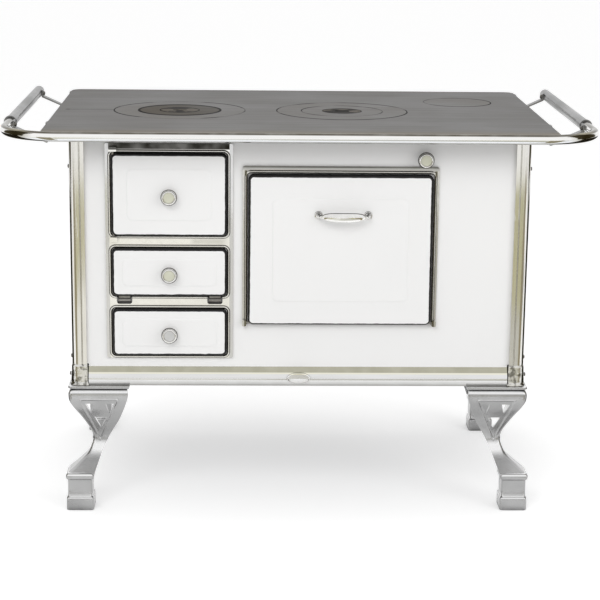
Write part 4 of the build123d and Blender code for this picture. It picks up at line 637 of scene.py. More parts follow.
# finishes of the pieces made here
leafFinish = makeEnamel("borderedEnamel", enamelLook, bordered=True)
handleFinish = makeMetal("handleChrome", knobLook, crown=(0.10, 0.098, 0.092))
bootFinish = makeMetal("bootSilver", bootLook)
# dark oxide in joints, used also as painted shade beside the frames' beads and at the knobs' rims
seamFinish = makeMetal("seamOxideAndShade", seamLook)
beadFinish = makeMetal("beadChrome", frameChromeLook, roughness=(0.05, 0.10))
discFinish = makeDiscEnamel("discEnamel", discLook)
greyDiscLook = dict(discLook, light=(0.60, 0.60, 0.59), shade=(0.50, 0.50, 0.49))
greyDiscFinish = makeDiscEnamel("greyDiscEnamel", greyDiscLook)

slotOf = {subpart["node"]: subpart["material_slot"] for subpart in frame["record"]["subparts"]}
for nodeName, nodeObject in frame["nodes"].items():
    nodeObject.data.materials.clear()
    nodeObject.data.materials.append(nodeFinish.get(nodeName, slotFinish[slotOf[nodeName]]))
print("stage: finishes on the carried-over nodes")

# mesh helpers for the pieces


def ringOf(steps):
    # cosine and sine of each step round a circle
    angles = [2 * math.pi * step / steps for step in range(steps)]
    return [(math.cos(angle), math.sin(angle)) for angle in angles]


def arcOf(start, end, steps):
    # cosine and sine of each step along an arc, with both its ends
    angles = [math.radians(start + (end - start) * step / steps) for step in range(steps + 1)]
    return [(math.cos(angle), math.sin(angle)) for angle in angles]


def loftLoops(build, loops, caps=True, marks=None):
    # quads between loops that have the same count of points
    layer = build.verts.layers.float.get("border")
    if marks is not None and layer is None:
        layer = build.verts.layers.float.new("border")
    rows = []
    for number, loop in enumerate(loops):
        row = [build.verts.new(point) for point in loop]
        if marks is not None:
            for vertex, mark in zip(row, marks[number]):
                vertex[layer] = mark
        rows.append(row)
    count = len(rows[0])
    for lower, upper in zip(rows, rows[1:]):
        for index in range(count):
            after = (index + 1) % count
            build.faces.new((lower[index], lower[after], upper[after], upper[index]))
    if caps:
        build.faces.new(rows[0][::-1])
        build.faces.new(rows[-1])


def roundedLoop(halfWidth, halfHeight, radius, steps=7):
    # a rounded rectangle about the origin, anticlockwise from its right side
    wide, tall = halfWidth - radius, halfHeight - radius
    points = []
    for signX, signZ, start in ((1, 1, 0), (-1, 1, 90), (-1, -1, 180), (1, -1, 270)):
        for c, s in arcOf(start, start + 90, steps):
            points.append((signX * wide + radius * c, signZ * tall + radius * s))
    return points


def turned(build, profile, centre, steps):
    # a turned shape about a line along Y: pairs of radius and distance to the front
    x, y, z = centre
    loops = []
    for radius, ahead in profile:
        loops.append([(x + radius * c, y - ahead, z + radius * s) for c, s in ringOf(steps)])
    loftLoops(build, loops)


def tube(build, path, radius, steps, closed=False, flat=1.0):
    # a round section along a path, with caps where the path is open
    count = len(path)
    loops = []
    points = [Vector(point) for point in path]
    for index, point in enumerate(points):
        before = points[index - 1] if closed or index > 0 else point
        after = points[(index + 1) % count] if closed or index < count - 1 else point
        ahead = (after - before).normalized()
        side = Vector((0, 1, 0)).cross(ahead)
        side = side.normalized() if side.length > 0.01 else Vector((1, 0, 0))
        lift = ahead.cross(side).normalized()
        loops.append([point + radius * c * side + radius * flat * s * lift for c, s in ringOf(steps)])
    if closed:
        loops.append(loops[0])
    loftLoops(build, loops, caps=not closed)
    if closed:
        bmesh.ops.remove_doubles(build, verts=build.verts, dist=1e-7)


def addPiece(name, build, finish, body, stands=(), sharpAngle=38):
    # the finished mesh as an object that rides a body, and the nodes that it stands for
    bmesh.ops.recalc_face_normals(build, faces=build.faces)
    mesh = bpy.data.meshes.new(name)
    build.to_mesh(mesh)
    build.free()
    mesh.polygons.foreach_set("use_smooth", [True] * len(mesh.polygons))
    mesh.set_sharp_from_angle(angle=math.radians(sharpAngle))
    mesh.materials.append(finish)
    made = bpy.data.objects.new(name, mesh)
    scene.collection.objects.link(made)
    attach(made, body)
    if stands:
        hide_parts(*stands)
    return made


def spanOf(node):
    low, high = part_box(node)
    return low, high, (low + high) / 2


def leafBottom(node, liner):
    # the liner is inset by the same amount above and below, also where hinge eyes hang lower
    low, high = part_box(node)
    linerLow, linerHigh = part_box(liner or node)
    return linerLow.z - (high.z - linerHigh.z)


# the four enamelled leaves: a pressed pan with a rolled edge, its black border and a raised field; the
# border is partly painted shade of the gap
leaf = {
    "depth": 12.5 * mm,
    "roll": 4.2 * mm,
    "corner": 11.0 * mm,
    "leastCorner": 3.0 * mm,
    "wall": 1.5 * mm,
    "rim": 0.4 * mm,
    "inside": 5.0 * mm,
    "flatInsets": (5.0, 6.0, 7.2, 9.0),
    "fieldSlope": 3.2 * mm,
    "fieldRise": 1.0 * mm,
    "sideBorder": 4.6 * mm,
    "upperBorder": 6.0 * mm,
    "lowerBorder": 3.4 * mm,
    "borderFade": 60,
    # where the top and foot borders start, as a share of the half height, and how sharply
    "endsFrom": 0.9,
    "endsFade": 20,
    "knuckle": (11 * mm, 16 * mm),
    "knuckleCorner": 2.5 * mm,
    "knuckleRounding": 0.3 * mm,
    "knuckleEnd": 0.94,
    "knuckleMark": 0.6,
}


def leafProfile(frontY, margin):
    # pairs of inset and Y, from behind the rolled edge to the raised field
    flatY, backY = frontY + leaf["fieldRise"], frontY + leaf["depth"]
    wall, rim, roll = leaf["wall"], leaf["rim"], leaf["roll"]
    profile = [
        (leaf["corner"], flatY + leaf["inside"]), (wall, flatY + leaf["inside"]), (wall, backY - rim),
        (wall * 0.7, backY), (wall * 0.3, backY), (0.0, backY - rim), (0.0, flatY + roll + wall),
    ]
    profile += [(roll * (1 - c), flatY + roll * (1 - s)) for c, s in arcOf(0, 90, 8)]
    profile += [(inset * mm, flatY) for inset in leaf["flatInsets"]]
    slope, rise = leaf["fieldSlope"], leaf["fieldRise"]
    for share in (step / 6 for step in range(7)):
        eased = share * share * (3 - 2 * share)
        profile.append((margin + slope * (share - 0.5), flatY - rise * eased))
    return profile + [(margin + slope, flatY - rise)]


def borderMark(z, inset, halfHeight):
    # above a half on the black border, which has its own width at the sides, top and foot; painted shade of
    # the gap makes it widest at the top
    shares = [(way * z / halfHeight - leaf["endsFrom"]) * leaf["endsFade"] for way in (-1, 1)]
    lower, upper = (max(0.0, min(1.0, share)) for share in shares)
    width = leaf["sideBorder"]
    width += (leaf["lowerBorder"] - width) * lower + (leaf["upperBorder"] - width) * upper
    return max(0.0, 0.5 + (width - inset) * leaf["borderFade"])


def makeLeaf(name, node, liner, body, margin, knuckles=()):
    low, high, middle = spanOf(node)
    bottom = leafBottom(node, liner)
    halfWidth, halfHeight = (high.x - low.x) / 2, (high.z - bottom) / 2
    centreX, centreZ = middle.x, (high.z + bottom) / 2
    insideY, backY = low.y + leaf["fieldRise"] + leaf["inside"], low.y + leaf["depth"]
    build = bmesh.new()
    loops, marks = [], []
    for inset, y in leafProfile(low.y, margin):
        radius = max(leaf["corner"] - inset, leaf["leastCorner"]) if inset < margin / 2 else leaf["corner"]
        loop = roundedLoop(halfWidth - inset, halfHeight - inset, radius)
        loops.append([(centreX + x, y, centreZ + z) for x, z in loop])
        marks.append([borderMark(z, inset, halfHeight) for x, z in loop])
    loftLoops(build, loops, marks=marks)
    for signX, signZ, upright in knuckles:
        width, height = leaf["knuckle"] if upright else leaf["knuckle"][::-1]
        x = centreX + signX * (halfWidth - leaf["wall"] - width / 2)
        z = centreZ + signZ * (halfHeight - leaf["wall"] - height / 2)
        edge = roundedLoop(width / 2, height / 2, leaf["knuckleCorner"], 3)
        levels = ((insideY, 1), (backY - leaf["knuckleRounding"], 1), (backY, leaf["knuckleEnd"]))
        block = [[(x + size * px, y, z + size * pz) for px, pz in edge] for y, size in levels]
        loftLoops(build, block, marks=[[leaf["knuckleMark"]] * len(edge)] * len(levels))
    addPiece(name, build, leafFinish, body, [node])


# the dark blocks round the hinge pins: the corner's two signs, and whether the block is upright
fireKnuckles = [(-1, 1, True), (-1, -1, True)]
ovenKnuckles = [(-1, -1, False), (1, -1, False)]
makeLeaf("fireLeaf", "fire_door", "fire_door_liner", "firebox_door", 31 * mm, fireKnuckles)
makeLeaf("flapLeaf", "draught_flap", "draught_flap_liner", "draught_door", 21 * mm)
makeLeaf("drawerLeaf", "drawer_front", None, "ash_drawer", 20 * mm)
makeLeaf("ovenLeaf", "oven_door", "oven_door_liner", "oven_front", 48 * mm, ovenKnuckles)
print("stage: four enamelled leaves")

# the two dark eyes that the draught flap turns on, each on a flat neck
flapEye = {
    "radius": 4.2 * mm, "bore": 2.05 * mm, "rounding": 0.6 * mm, "notch": 30.0 * mm, "inset": 3.0 * mm,
    "neck": 3.0 * mm, "neckCorner": 0.8 * mm, "neckReach": 3.0 * mm, "steps": 28,
}


def makeFlapEyes():
    low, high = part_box("flap_hinges")
    eyeLow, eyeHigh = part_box("draught_flap")
    radius, bore, soft, notch = (flapEye[key] for key in ("radius", "bore", "rounding", "notch"))
    pinY, pinZ = eyeHigh.y - radius, eyeLow.z + radius
    half = notch / 2 - flapEye["inset"]
    section = [
        (bore, half), (radius - soft, half), (radius, half - soft), (radius, soft - half),
        (radius - soft, -half), (bore, -half), (bore, half),
    ]
    neck = roundedLoop(half - soft, flapEye["neck"] / 2, flapEye["neckCorner"], 3)
    neckTop = leafBottom("draught_flap", "draught_flap_liner") + flapEye["neckReach"]
    levels = (pinZ + bore + flapEye["neckCorner"], neckTop)
    build = bmesh.new()
    for x in (low.x + notch / 2, high.x - notch / 2):
        eye = []
        for size, off in section:
            eye.append([(x + off, pinY + size * c, pinZ + size * s) for c, s in ringOf(flapEye["steps"])])
        loftLoops(build, eye, caps=False)
        loftLoops(build, [[(x + off, pinY + y, z) for off, y in neck] for z in levels])
    bmesh.ops.remove_doubles(build, verts=build.verts, dist=1e-6)
    addPiece("flapEyes", build, slotFinish["bolt_steel"], "draught_door")


makeFlapEyes()

# turned knobs with an inlaid disc: pairs of radius and distance from the door, in millimetres
knob = {
    "body": [
        (7.6, 0.0), (7.4, 0.9), (6.2, 1.7), (5.6, 3.2), (5.5, 5.4), (6.0, 7.2), (7.6, 8.4), (11.2, 9.0),
        (13.6, 9.5), (14.6, 10.6), (14.9, 12.2), (14.9, 14.2), (14.5, 16.0), (13.8, 17.3), (12.9, 18.2),
        (11.9, 18.7), (11.3, 18.7), (10.9, 18.3), (10.8, 17.4),
    ],
    "rim": [(13.6, 11.2), (15.6, 11.3), (16.0, 11.7), (16.0, 12.5), (15.6, 12.9), (13.6, 13.0)],
    "disc": [(10.55, 16.9), (10.5, 18.1), (10.0, 18.45), (8.0, 18.7), (5.0, 18.85), (2.0, 18.92)],
    "size": 32.0,
    "steps": 48,
}


def makeKnob(name, node, body, disc):
    low, high, middle = spanOf(node)
    scale = (high.x - low.x) / knob["size"]
    # the rim is a dark ring of painted shade at the knob's edge
    parts = (
        ("body", slotFinish["knob_chrome"], "knob_chrome", [node]), ("rim", seamFinish, "bolt_steel", []),
        ("disc", disc, "enamel", []),
    )
    for part, finish, slot, stands in parts:
        build = bmesh.new()
        profile = [(radius * scale, ahead * scale) for radius, ahead in knob[part]]
        turned(build, profile, (middle.x, high.y, middle.z), knob["steps"])
        addPiece(name + part.capitalize(), build, finish, body, stands)


makeKnob("fireKnob", "fire_door_knob", "firebox_door", discFinish)
makeKnob("flapKnob", "draught_flap_knob", "draught_door", discFinish)
makeKnob("drawerKnob", "drawer_knob", "ash_drawer", greyDiscFinish)
makeKnob("damperKnob", "damper_knob", "damper", discFinish)
print("stage: knobs")

# the oven door's handle: ringed rosettes, bent necks and a full, tapered grip
handle = {
    "rosette": [
        (8.5, 0.0), (8.5, 1.0), (7.9, 1.9), (7.2, 2.1), (6.7, 1.7), (6.3, 1.8), (6.0, 3.0), (5.5, 4.1),
        (4.7, 4.8), (3.9, 5.2), (3.5, 6.2),
    ],
    "rosetteSteps": 36,
    "neckRadius": 3.4 * mm,
    "neckBend": 10.0 * mm,
    "neckStart": 4.0 * mm,
    "neckReach": 1.6,
    "neckLift": 0.6 * mm,
    "neckSteps": 18,
    "gripBow": 8.0 * mm,
    "gripThickness": 7.4 * mm,
    "gripInset": 5.0 * mm,
    "gripSections": 36,
    "gripSteps": 28,
    "endPower": 3.4,
    "endDepth": 1.3,
    "leastSize": 0.2 * mm,
}


def makeHandle():
    low, high, middle = spanOf("oven_handle")
    halfSpan = (high.x - low.x) / 2 - handle["rosette"][0][0] * mm
    halfGrip, halfHeight = halfSpan - handle["gripInset"], (high.z - low.z) / 2
    frontY = low.y + handle["gripThickness"] / 2
    endY, bend = frontY + handle["gripBow"], handle["neckBend"]
    build = bmesh.new()
    for side in (-1, 1):
        x = middle.x + side * halfSpan
        rosette = [(radius * mm, ahead * mm) for radius, ahead in handle["rosette"]]
        turned(build, rosette, (x, high.y, middle.z), handle["rosetteSteps"])
        path = [(x, high.y - handle["neckStart"], middle.z), (x, (high.y + endY) / 2, middle.z)]
        path += [(x - side * bend * (1 - c), endY + bend * (1 - s), middle.z) for c, s in arcOf(0, 90, 8)]
        path.append((x - side * handle["neckReach"] * bend, endY - handle["neckLift"], middle.z))
        tube(build, path, handle["neckRadius"], handle["neckSteps"])
    grip = []
    sections = handle["gripSections"]
    for number in range(sections + 1):
        share = math.sin(math.radians(180 * number / sections - 90))
        size = max(1 - abs(share) ** handle["endPower"], 0.0) ** 0.5
        x, y = middle.x + share * halfGrip, frontY + handle["gripBow"] * share * share
        tall = max(halfHeight * size, handle["leastSize"])
        deep = handle["gripThickness"] / 2 * min(1.0, size * handle["endDepth"])
        deep = max(deep, handle["leastSize"])
        grip.append([(x, y + deep * c, middle.z + tall * s) for c, s in ringOf(handle["gripSteps"])])
    loftLoops(build, grip)
    addPiece("ovenHandle", build, handleFinish, "oven_front", ["oven_handle"], 50)


makeHandle()
print("stage: handle")

# round beads along the frames' openings, each with a dark seam behind it: oxide in the joint, and painted
# shade beside the bead
bead = {
    "radius": 1.85 * mm, "lift": 1.15 * mm, "behind": 4.0 * mm, "out": 1.25 * mm, "corner": 9.0 * mm,
    "notch": 30.0 * mm, "columnGap": 2.0 * mm, "ovenGap": 3.0 * mm, "seam": 3.0 * mm, "seamFlat": 0.12,
    "steps": 14,
}


def addRun(beads, seams, path, closed=False):
    # a bead, and its seam in the frame's own face
    lowered = [(x, y + bead["lift"], z) for x, y, z in path]
    tube(beads, path, bead["radius"], bead["steps"], closed)
    tube(seams, lowered, bead["seam"], bead["steps"], closed, bead["seamFlat"])


def addBeads(beadName, seamName, beads, seams):
    addPiece(beadName, beads, beadFinish, "stove", sharpAngle=60)
    addPiece(seamName, seams, seamFinish, "stove", sharpAngle=60)


def makeColumnBeads():
    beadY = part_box("column_frame")[1].y - bead["behind"] - bead["lift"]
    gap = bead["columnGap"] + bead["out"]
    beads, seams = bmesh.new(), bmesh.new()
    for node, liner in (("fire_door", "fire_door_liner"), ("draught_flap", "draught_flap_liner"),
                        ("drawer_front", None)):
        low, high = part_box(node)
        lowX, highX = low.x - gap, high.x + gap
        lowZ, highZ = leafBottom(node, liner) - gap, high.z + gap
        loop = roundedLoop((highX - lowX) / 2, (highZ - lowZ) / 2, bead["corner"] + bead["out"], 8)
        path = [((lowX + highX) / 2 + x, beadY, (lowZ + highZ) / 2 + z) for x, z in loop]
        if node != "draught_flap":
            addRun(beads, seams, path, closed=True)
            continue
        # the lower run stops at the two notches
        hingeLow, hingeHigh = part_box("flap_hinges")
        turnAt = len(path) // 2 + len(path) // 4 - 1
        z = path[turnAt][2]
        around = [(hingeHigh.x, beadY, z)] + path[turnAt + 1:] + path[:turnAt + 1] + [(hingeLow.x, beadY, z)]
        addRun(beads, seams, around)
        between = (hingeLow.x + bead["notch"], hingeHigh.x - bead["notch"])
        addRun(beads, seams, [(x, beadY, z) for x in between])
    addBeads("columnBeads", "columnSeams", beads, seams)


def makeOvenBead():
    frameLow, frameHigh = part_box("oven_frame")
    leafLow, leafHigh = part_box("oven_door")
    beadY, footZ = frameHigh.y - bead["behind"] - bead["lift"], frameLow.z + 2 * mm
    gap, corner = bead["ovenGap"] + bead["out"], bead["corner"] + bead["out"]
    lowX, highX, topZ = leafLow.x - gap, leafHigh.x + gap, leafHigh.z + gap
    path = [(highX, beadY, footZ)]
    path += [(highX - corner * (1 - c), beadY, topZ - corner * (1 - s)) for c, s in arcOf(0, 90, 8)]
    path += [(lowX + corner * (1 + c), beadY, topZ - corner * (1 - s)) for c, s in arcOf(90, 180, 8)]
    path.append((lowX, beadY, footZ))
    beads, seams = bmesh.new(), bmesh.new()
    addRun(beads, seams, path)
    addBeads("ovenBead", "ovenSeam", beads, seams)


makeColumnBeads()
makeOvenBead()
print("stage: beads on the frames")

# the plain oval badge on the skirt, with a raised rim and a sunk field: pairs of size and rise
badge = {
    "rings": [
        (1.0, 0.0), (1.0, 0.55), (0.985, 0.85), (0.95, 1.0), (0.915, 0.97), (0.88, 0.72), (0.86, 0.58),
        (0.5, 0.66), (0.2, 0.70),
    ],
    "leastHeight": 0.4,
    "steps": 56,
}


def makeBadge():
    low, high, middle = spanOf("badge_plate")
    halfWidth, halfHeight = (high.x - low.x) / 2, (high.z - low.z) / 2
    loops = []
    for size, rise in badge["rings"]:
        inset = (1 - size) * halfWidth
        wide, tall = halfWidth - inset, max(halfHeight - inset, halfHeight * size * badge["leastHeight"])
        y = high.y - rise * (high.y - low.y)
        loops.append([(middle.x + wide * c, y, middle.z + tall * s) for c, s in ringOf(badge["steps"])])
    build = bmesh.new()
    loftLoops(build, loops)
    addPiece("skirtBadge", build, slotFinish["skirt_steel"], "stove", ["badge_plate"], 30)


makeBadge()

# domed screws in the posts and boots: pairs of size and rise
screw = {
    "dome": [(1.0, 0.0), (1.0, 0.35), (0.94, 0.62), (0.78, 0.84), (0.5, 0.96), (0.2, 1.0)],
    "radius": 4.0 * mm,
    "height": 2.5 * mm,
    "aboveBoot": 58.0 * mm,
    "steps": 24,
}


def makePostScrews():
    low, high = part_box("post_screws")
    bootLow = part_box("post_boots")[0]
    postLow, postHigh, frontMiddle = spanOf("post_front_left")
    radius, height = screw["radius"], screw["height"]
    # the height of each screw and the face that it sits on
    levels = (
        (high.z - radius, abs(postLow.x)), (bootLow.z + screw["aboveBoot"], abs(postLow.x)),
        (low.z + radius, abs(bootLow.x)),
    )
    build = bmesh.new()
    for side in (-1, 1):
        for y in (frontMiddle.y, spanOf("post_back_left")[2].y):
            for z, face in levels:
                dome = [(side * (face + rise * height), radius * size) for size, rise in screw["dome"]]
                ring = ringOf(screw["steps"])
                loftLoops(build, [[(x, y + r * c, z + r * s) for c, s in ring] for x, r in dome])
    addPiece("postScrews", build, slotFinish["bolt_steel"], "stove", ["post_screws"])


makePostScrews()
print("stage: badge and screws")

# the cast legs: two pierced arms that meet in a rounded corner, under a lip and over a stepped foot
leg = {
    "outset": 11.0,
    "corner": 7.0,
    "wall": 7.0,
    "bottom": 76.0,
    "top": 252.5,
    # pairs of height and inset from the corner, then of height and the inner edge's distance from it
    "outer": [
        (76, -8.5), (91, 11), (107, 29), (124, 38), (139, 41.5), (152, 38.5), (170.5, 29), (192, 17),
        (211, 5), (226, -2), (238, -3.7), (247, -2.4), (252.5, 3),
    ],
    "inner": [
        (76, 46), (112, 60), (142, 74), (160, 84), (180, 95), (205, 105), (225, 112), (239, 115),
        (252.5, 113),
    ],
    "middle": 58.0,
    "ridge": {"top": 232.0, "half": 41.0, "height": 104.0, "lean": 3.0, "width": 4.0, "rise": 2.0},
    "piercings": [
        [(-28.5, 221), (-12, 221), (-18, 197)],
        [(28.5, 221), (12, 221), (18, 197)],
        [(-12, 188), (12, 188), (0, 161)],
    ],
    "spacing": 4.0,
    "edgeSpacing": 3.0,
    "leastSpacing": 1.6,
    "cornerSteps": [0.9, 1.8, 2.7, 3.6, 4.5, 5.4],
    "foot": [
        (26.6, 0.0), (27.25, 0.8), (27.25, 25.0), (26.6, 26.8), (25.0, 28.0), (24.5, 29.0), (24.5, 62.5),
        (25.2, 64.2), (26.8, 65.0), (27.9, 67.4), (28.0, 70.5), (27.6, 74.4), (25.6, 77.3), (22.5, 78.0),
    ],
    "footMiddle": 17.0,
    "footCorner": 5.5,
    "lipLength": 122.0,
    "lipWidth": 34.0,
    "lipReach": 4.0,
    "lipCorner": 8.5,
    "lip": [
        (7.2, 248.0), (7.2, 252.3), (1.0, 252.8), (0.2, 253.6), (0.0, 255.2), (0.5, 257.2), (1.8, 258.0),
    ],
    "rounding": 1.1 * mm,
    "roundingFrom": 55,
}


def alongTable(table, height):
    # a smooth curve through pairs of height and value
    last = len(table) - 2
    index = max(0, min(last, sum(1 for row in table[1:-1] if row[0] <= height)))
    (startZ, start), (endZ, end) = table[index], table[index + 1]
    before, after = table[max(index - 1, 0)], table[min(index + 2, last + 1)]
    slopeIn = (end - before[1]) / (endZ - before[0])
    slopeOut = (after[1] - start) / (after[0] - startZ)
    span = endZ - startZ
    t = (height - startZ) / span
    return (
        start * (2 * t**3 - 3 * t**2 + 1) + slopeIn * span * (t**3 - 2 * t**2 + t)
        + end * (3 * t**2 - 2 * t**3) + slopeOut * span * (t**3 - t**2)
    )


def isInside(point, loop):
    inside = False
    for (ax, az), (bx, bz) in zip(loop, loop[1:] + loop[:1]):
        if (az > point[1]) != (bz > point[1]) and point[0] < ax + (bx - ax) * (point[1] - az) / (bz - az):
            inside = not inside
    return inside


def splitEdges(corners, spacing):
    # the same outline with points at about this spacing
    points = []
    for start, end in zip(corners, corners[1:] + corners[:1]):
        count = max(1, round(math.dist(start, end) / spacing))
        for share in (step / count for step in range(count)):
            points.append((start[0] + (end[0] - start[0]) * share, start[1] + (end[1] - start[1]) * share))
    return points


def shrunk(corners, inset):
    # a triangle drawn in by the same distance on each side
    a, b, c = corners
    sides = [math.dist(b, c), math.dist(c, a), math.dist(a, b)]
    around = sum(sides)
    centre = [sum(side * corner[axis] for side, corner in zip(sides, corners)) / around for axis in (0, 1)]
    area = abs((b[0] - a[0]) * (c[1] - a[1]) - (c[0] - a[0]) * (b[1] - a[1])) / 2
    keep = 1 - inset / (2 * area / around)
    moved = []
    for corner in corners:
        moved.append(tuple(middle + (value - middle) * keep for middle, value in zip(centre, corner)))
    return moved


def fromCorner(loop):
    return [(x - alongTable(leg["outer"], z), z) for x, z in loop]


def armOutlines():
    # the arm's outline, its piercings and its ridge, laid flat: distance from the corner line and height
    bottom, top, spacing = leg["bottom"], leg["top"], leg["spacing"]
    rows = round((top - bottom) / spacing)
    heights = [bottom + (top - bottom) * row / rows for row in range(rows + 1)]
    innerEdge = fromCorner([(alongTable(leg["inner"], z), z) for z in heights])
    outline = [(0.0, z) for z in heights] + splitEdges([(0.0, top), innerEdge[-1]], spacing)[1:13]
    outline = [point for point in outline if point[0] < innerEdge[-1][0] - 1] + innerEdge[::-1]
    for point in splitEdges([innerEdge[0], (0.0, bottom)], spacing):
        if 1 < point[0] < innerEdge[0][0] - 1 and point[1] <= bottom + 0.01:
            outline.append(point)
    middle, ridge, edgeSpacing = leg["middle"], leg["ridge"], leg["edgeSpacing"]
    border = [
        (middle - ridge["half"], ridge["top"]), (middle + ridge["half"], ridge["top"]),
        (middle - ridge["lean"], ridge["top"] - ridge["height"]),
    ]
    holes = []
    for piercing in leg["piercings"]:
        holes.append(fromCorner(splitEdges([(middle + x, z) for x, z in piercing], edgeSpacing)))
    ridges = []
    for inset, lift in ((0.0, 0.0), (ridge["width"] / 2, ridge["rise"]), (ridge["width"], 0.0)):
        ridges.append((fromCorner(splitEdges(shrunk(border, inset), edgeSpacing)), lift))
    return heights, outline, holes, ridges


def armFace():
    # the arm's face laid flat: points, the lift of each, and triangles
    heights, outline, holes, ridges = armOutlines()

    def isMetal(point):
        return isInside(point, outline) and not any(isInside(point, hole) for hole in holes)

    points, lifts, edges = [], [], []
    for loop, lift in [(outline, 0.0)] + [(hole, 0.0) for hole in holes] + ridges:
        start = len(points)
        points += loop
        lifts += [lift] * len(loop)
        edges += [(start + index, start + (index + 1) % len(loop)) for index in range(len(loop))]
    fixed = list(points)
    across = leg["cornerSteps"] + [leg["corner"] + leg["spacing"] * step for step in range(32)]
    for point in ((u, z) for z in heights[1:-1] for u in across):
        if isMetal(point) and min(math.dist(point, other) for other in fixed) > leg["leastSpacing"]:
            points.append(point)
            lifts.append(0.0)
    flat = geometry.delaunay_2d_cdt([Vector(point) for point in points], edges, [], 0, 1e-5)
    placed, faces, origins = flat[0], flat[2], flat[3]
    triangles = []
    for face in faces:
        if isMetal(tuple(sum(placed[index][axis] for index in face) / 3 for axis in (0, 1))):
            triangles.append(face)
    used = sorted({index for triangle in triangles for index in triangle})
    number = {index: place for place, index in enumerate(used)}
    lift = [lifts[origins[index][0]] if origins[index] else 0.0 for index in used]
    return [tuple(placed[index]) for index in used], lift, [[number[i] for i in t] for t in triangles]


def bentPoint(u, z, depth):
    # laid over the leg's curve and round its corner; depth runs into the casting
    inset, radius = alongTable(leg["outer"], z), leg["corner"]
    if u >= radius:
        return inset + u, inset + depth, z
    turn = math.radians(45 * (radius - u) / radius)
    reach = radius - depth
    across = radius - reach * math.sin(turn) if depth < radius else radius
    return inset + across, inset + radius - reach * math.cos(turn), z


def addArms(build, put):
    points, lift, triangles = armFace()
    sides = {}
    for triangle in triangles:
        for pair in zip(triangle, triangle[1:] + triangle[:1]):
            sides.setdefault(tuple(sorted(pair)), []).append(pair)
    for swap in (False, True):
        layers = []
        for depth in (0.0, leg["wall"]):
            layer = []
            for (u, z), raised in zip(points, lift):
                a, b, z = bentPoint(u, z, depth - (raised if depth == 0 else 0))
                layer.append(build.verts.new(put(b, a, z) if swap else put(a, b, z)))
            layers.append(layer)
        outer, inner = layers
        for triangle in triangles:
            build.faces.new([outer[index] for index in triangle])
            build.faces.new([inner[index] for index in reversed(triangle)])
        for pairs in sides.values():
            first, second = pairs[0]
            onCorner = points[first][0] < 0.01 and points[second][0] < 0.01
            if len(pairs) == 1 and not onCorner:
                build.faces.new((outer[second], outer[first], inner[first], inner[second]))
    bmesh.ops.remove_doubles(build, verts=build.verts, dist=2e-5)


def lipLoop(inset):
    length, width, radius = leg["lipLength"] - inset, leg["lipWidth"] - inset, leg["lipCorner"]
    corner = [(inset + radius * (1 + c), inset + radius * (1 + s)) for c, s in arcOf(270, 180, 6)]
    rest = [(inset, length), (width, length), (width, width), (length, width), (length, inset)]
    return [(x - leg["lipReach"], y - leg["lipReach"]) for x, y in corner + rest]


def makeLeg(name, node, inwardX, inwardY):
    low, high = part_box(node)
    outerX = low.x if inwardX > 0 else high.x
    outerY = low.y if inwardY > 0 else high.y

    def put(a, b, z):
        x = outerX + inwardX * (leg["outset"] + a) * mm
        return x, outerY + inwardY * (leg["outset"] + b) * mm, z * mm

    build = bmesh.new()
    addArms(build, put)
    middle = leg["footMiddle"]
    foot = [(roundedLoop(half, half, leg["footCorner"], 4), z) for half, z in leg["foot"]]
    loftLoops(build, [[put(middle + a, middle + b, z) for a, b in loop] for loop, z in foot])
    loftLoops(build, [[put(a, b, z) for a, b in lipLoop(inset)] for inset, z in leg["lip"]])
    made = addPiece(name, build, slotFinish["leg_paint"], "stove", [node], 42)
    rounding = made.modifiers.new("rounding", "BEVEL")
    rounding.width = leg["rounding"]
    rounding.segments = 2
    rounding.limit_method = "ANGLE"
    rounding.angle_limit = math.radians(leg["roundingFrom"])


for legY, inwardY in (("front", 1), ("back", -1)):
    for legX, inwardX in (("left", 1), ("right", -1)):
        makeLeg(f"{legY}{legX.capitalize()}Leg", f"leg_{legY}_{legX}", inwardX, inwardY)
print("stage: legs")

# the boots under the posts, flared to a rolled collar: pairs of height and growth beyond the post
boot = {
    "profile": [
        (0.0, 3.0), (0.9, 4.0), (2.4, 4.5), (4.0, 4.1), (5.2, 3.0), (8.0, 2.4),
        *((10 + 3.5 * step, 2.3 - 0.13 * step) for step in range(8)),
        (38.0, 1.2), (41.5, 0.9), (42.7, 0.6), (43.0, 0.3),
    ],
    "corner": 13.0,
    "otherCorner": 3.0,
    "dent": 0.5,
}


def bootLoop(growth, half, z, turnX, turnY, centre):
    # a square section with one large round corner, outermost on the stove, and hammered a little
    loop = []
    for signX, signY, start in ((-1, -1, 180), (1, -1, 270), (1, 1, 0), (-1, 1, 90)):
        outer = signX < 0 and signY < 0
        radius = boot["corner"] + growth if outer else boot["otherCorner"]
        dent = boot["dent"] if outer else 0.0
        reach = half + growth
        for step in range(13):
            angle = math.radians(start + 90 * step / 12)
            wave = dent * math.sin(7 * angle + z * 0.31) * math.sin(z * 0.23 + 3 * angle)
            a = signX * (reach - radius) + (radius + wave) * math.cos(angle)
            b = signY * (reach - radius) + (radius + wave) * math.sin(angle)
            loop.append((centre.x + turnX * a * mm, centre.y + turnY * b * mm, centre.z + z * mm))
    return loop


def makeBoots():
    low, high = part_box("post_boots")
    build = bmesh.new()
    for legY, turnY in (("front", 1), ("back", -1)):
        for legX, turnX in (("left", 1), ("right", -1)):
            postLow, postHigh, middle = spanOf(f"post_{legY}_{legX}")
            centre = Vector((middle.x, middle.y, low.z))
            half = (postHigh.x - postLow.x) / 2 / mm
            loops = [bootLoop(growth, half, z, turnX, turnY, centre) for z, growth in boot["profile"]]
            loftLoops(build, loops)
    addPiece("postBoots", build, bootFinish, "stove", ["post_boots"], 45)


makeBoots()
print("stage: boots")

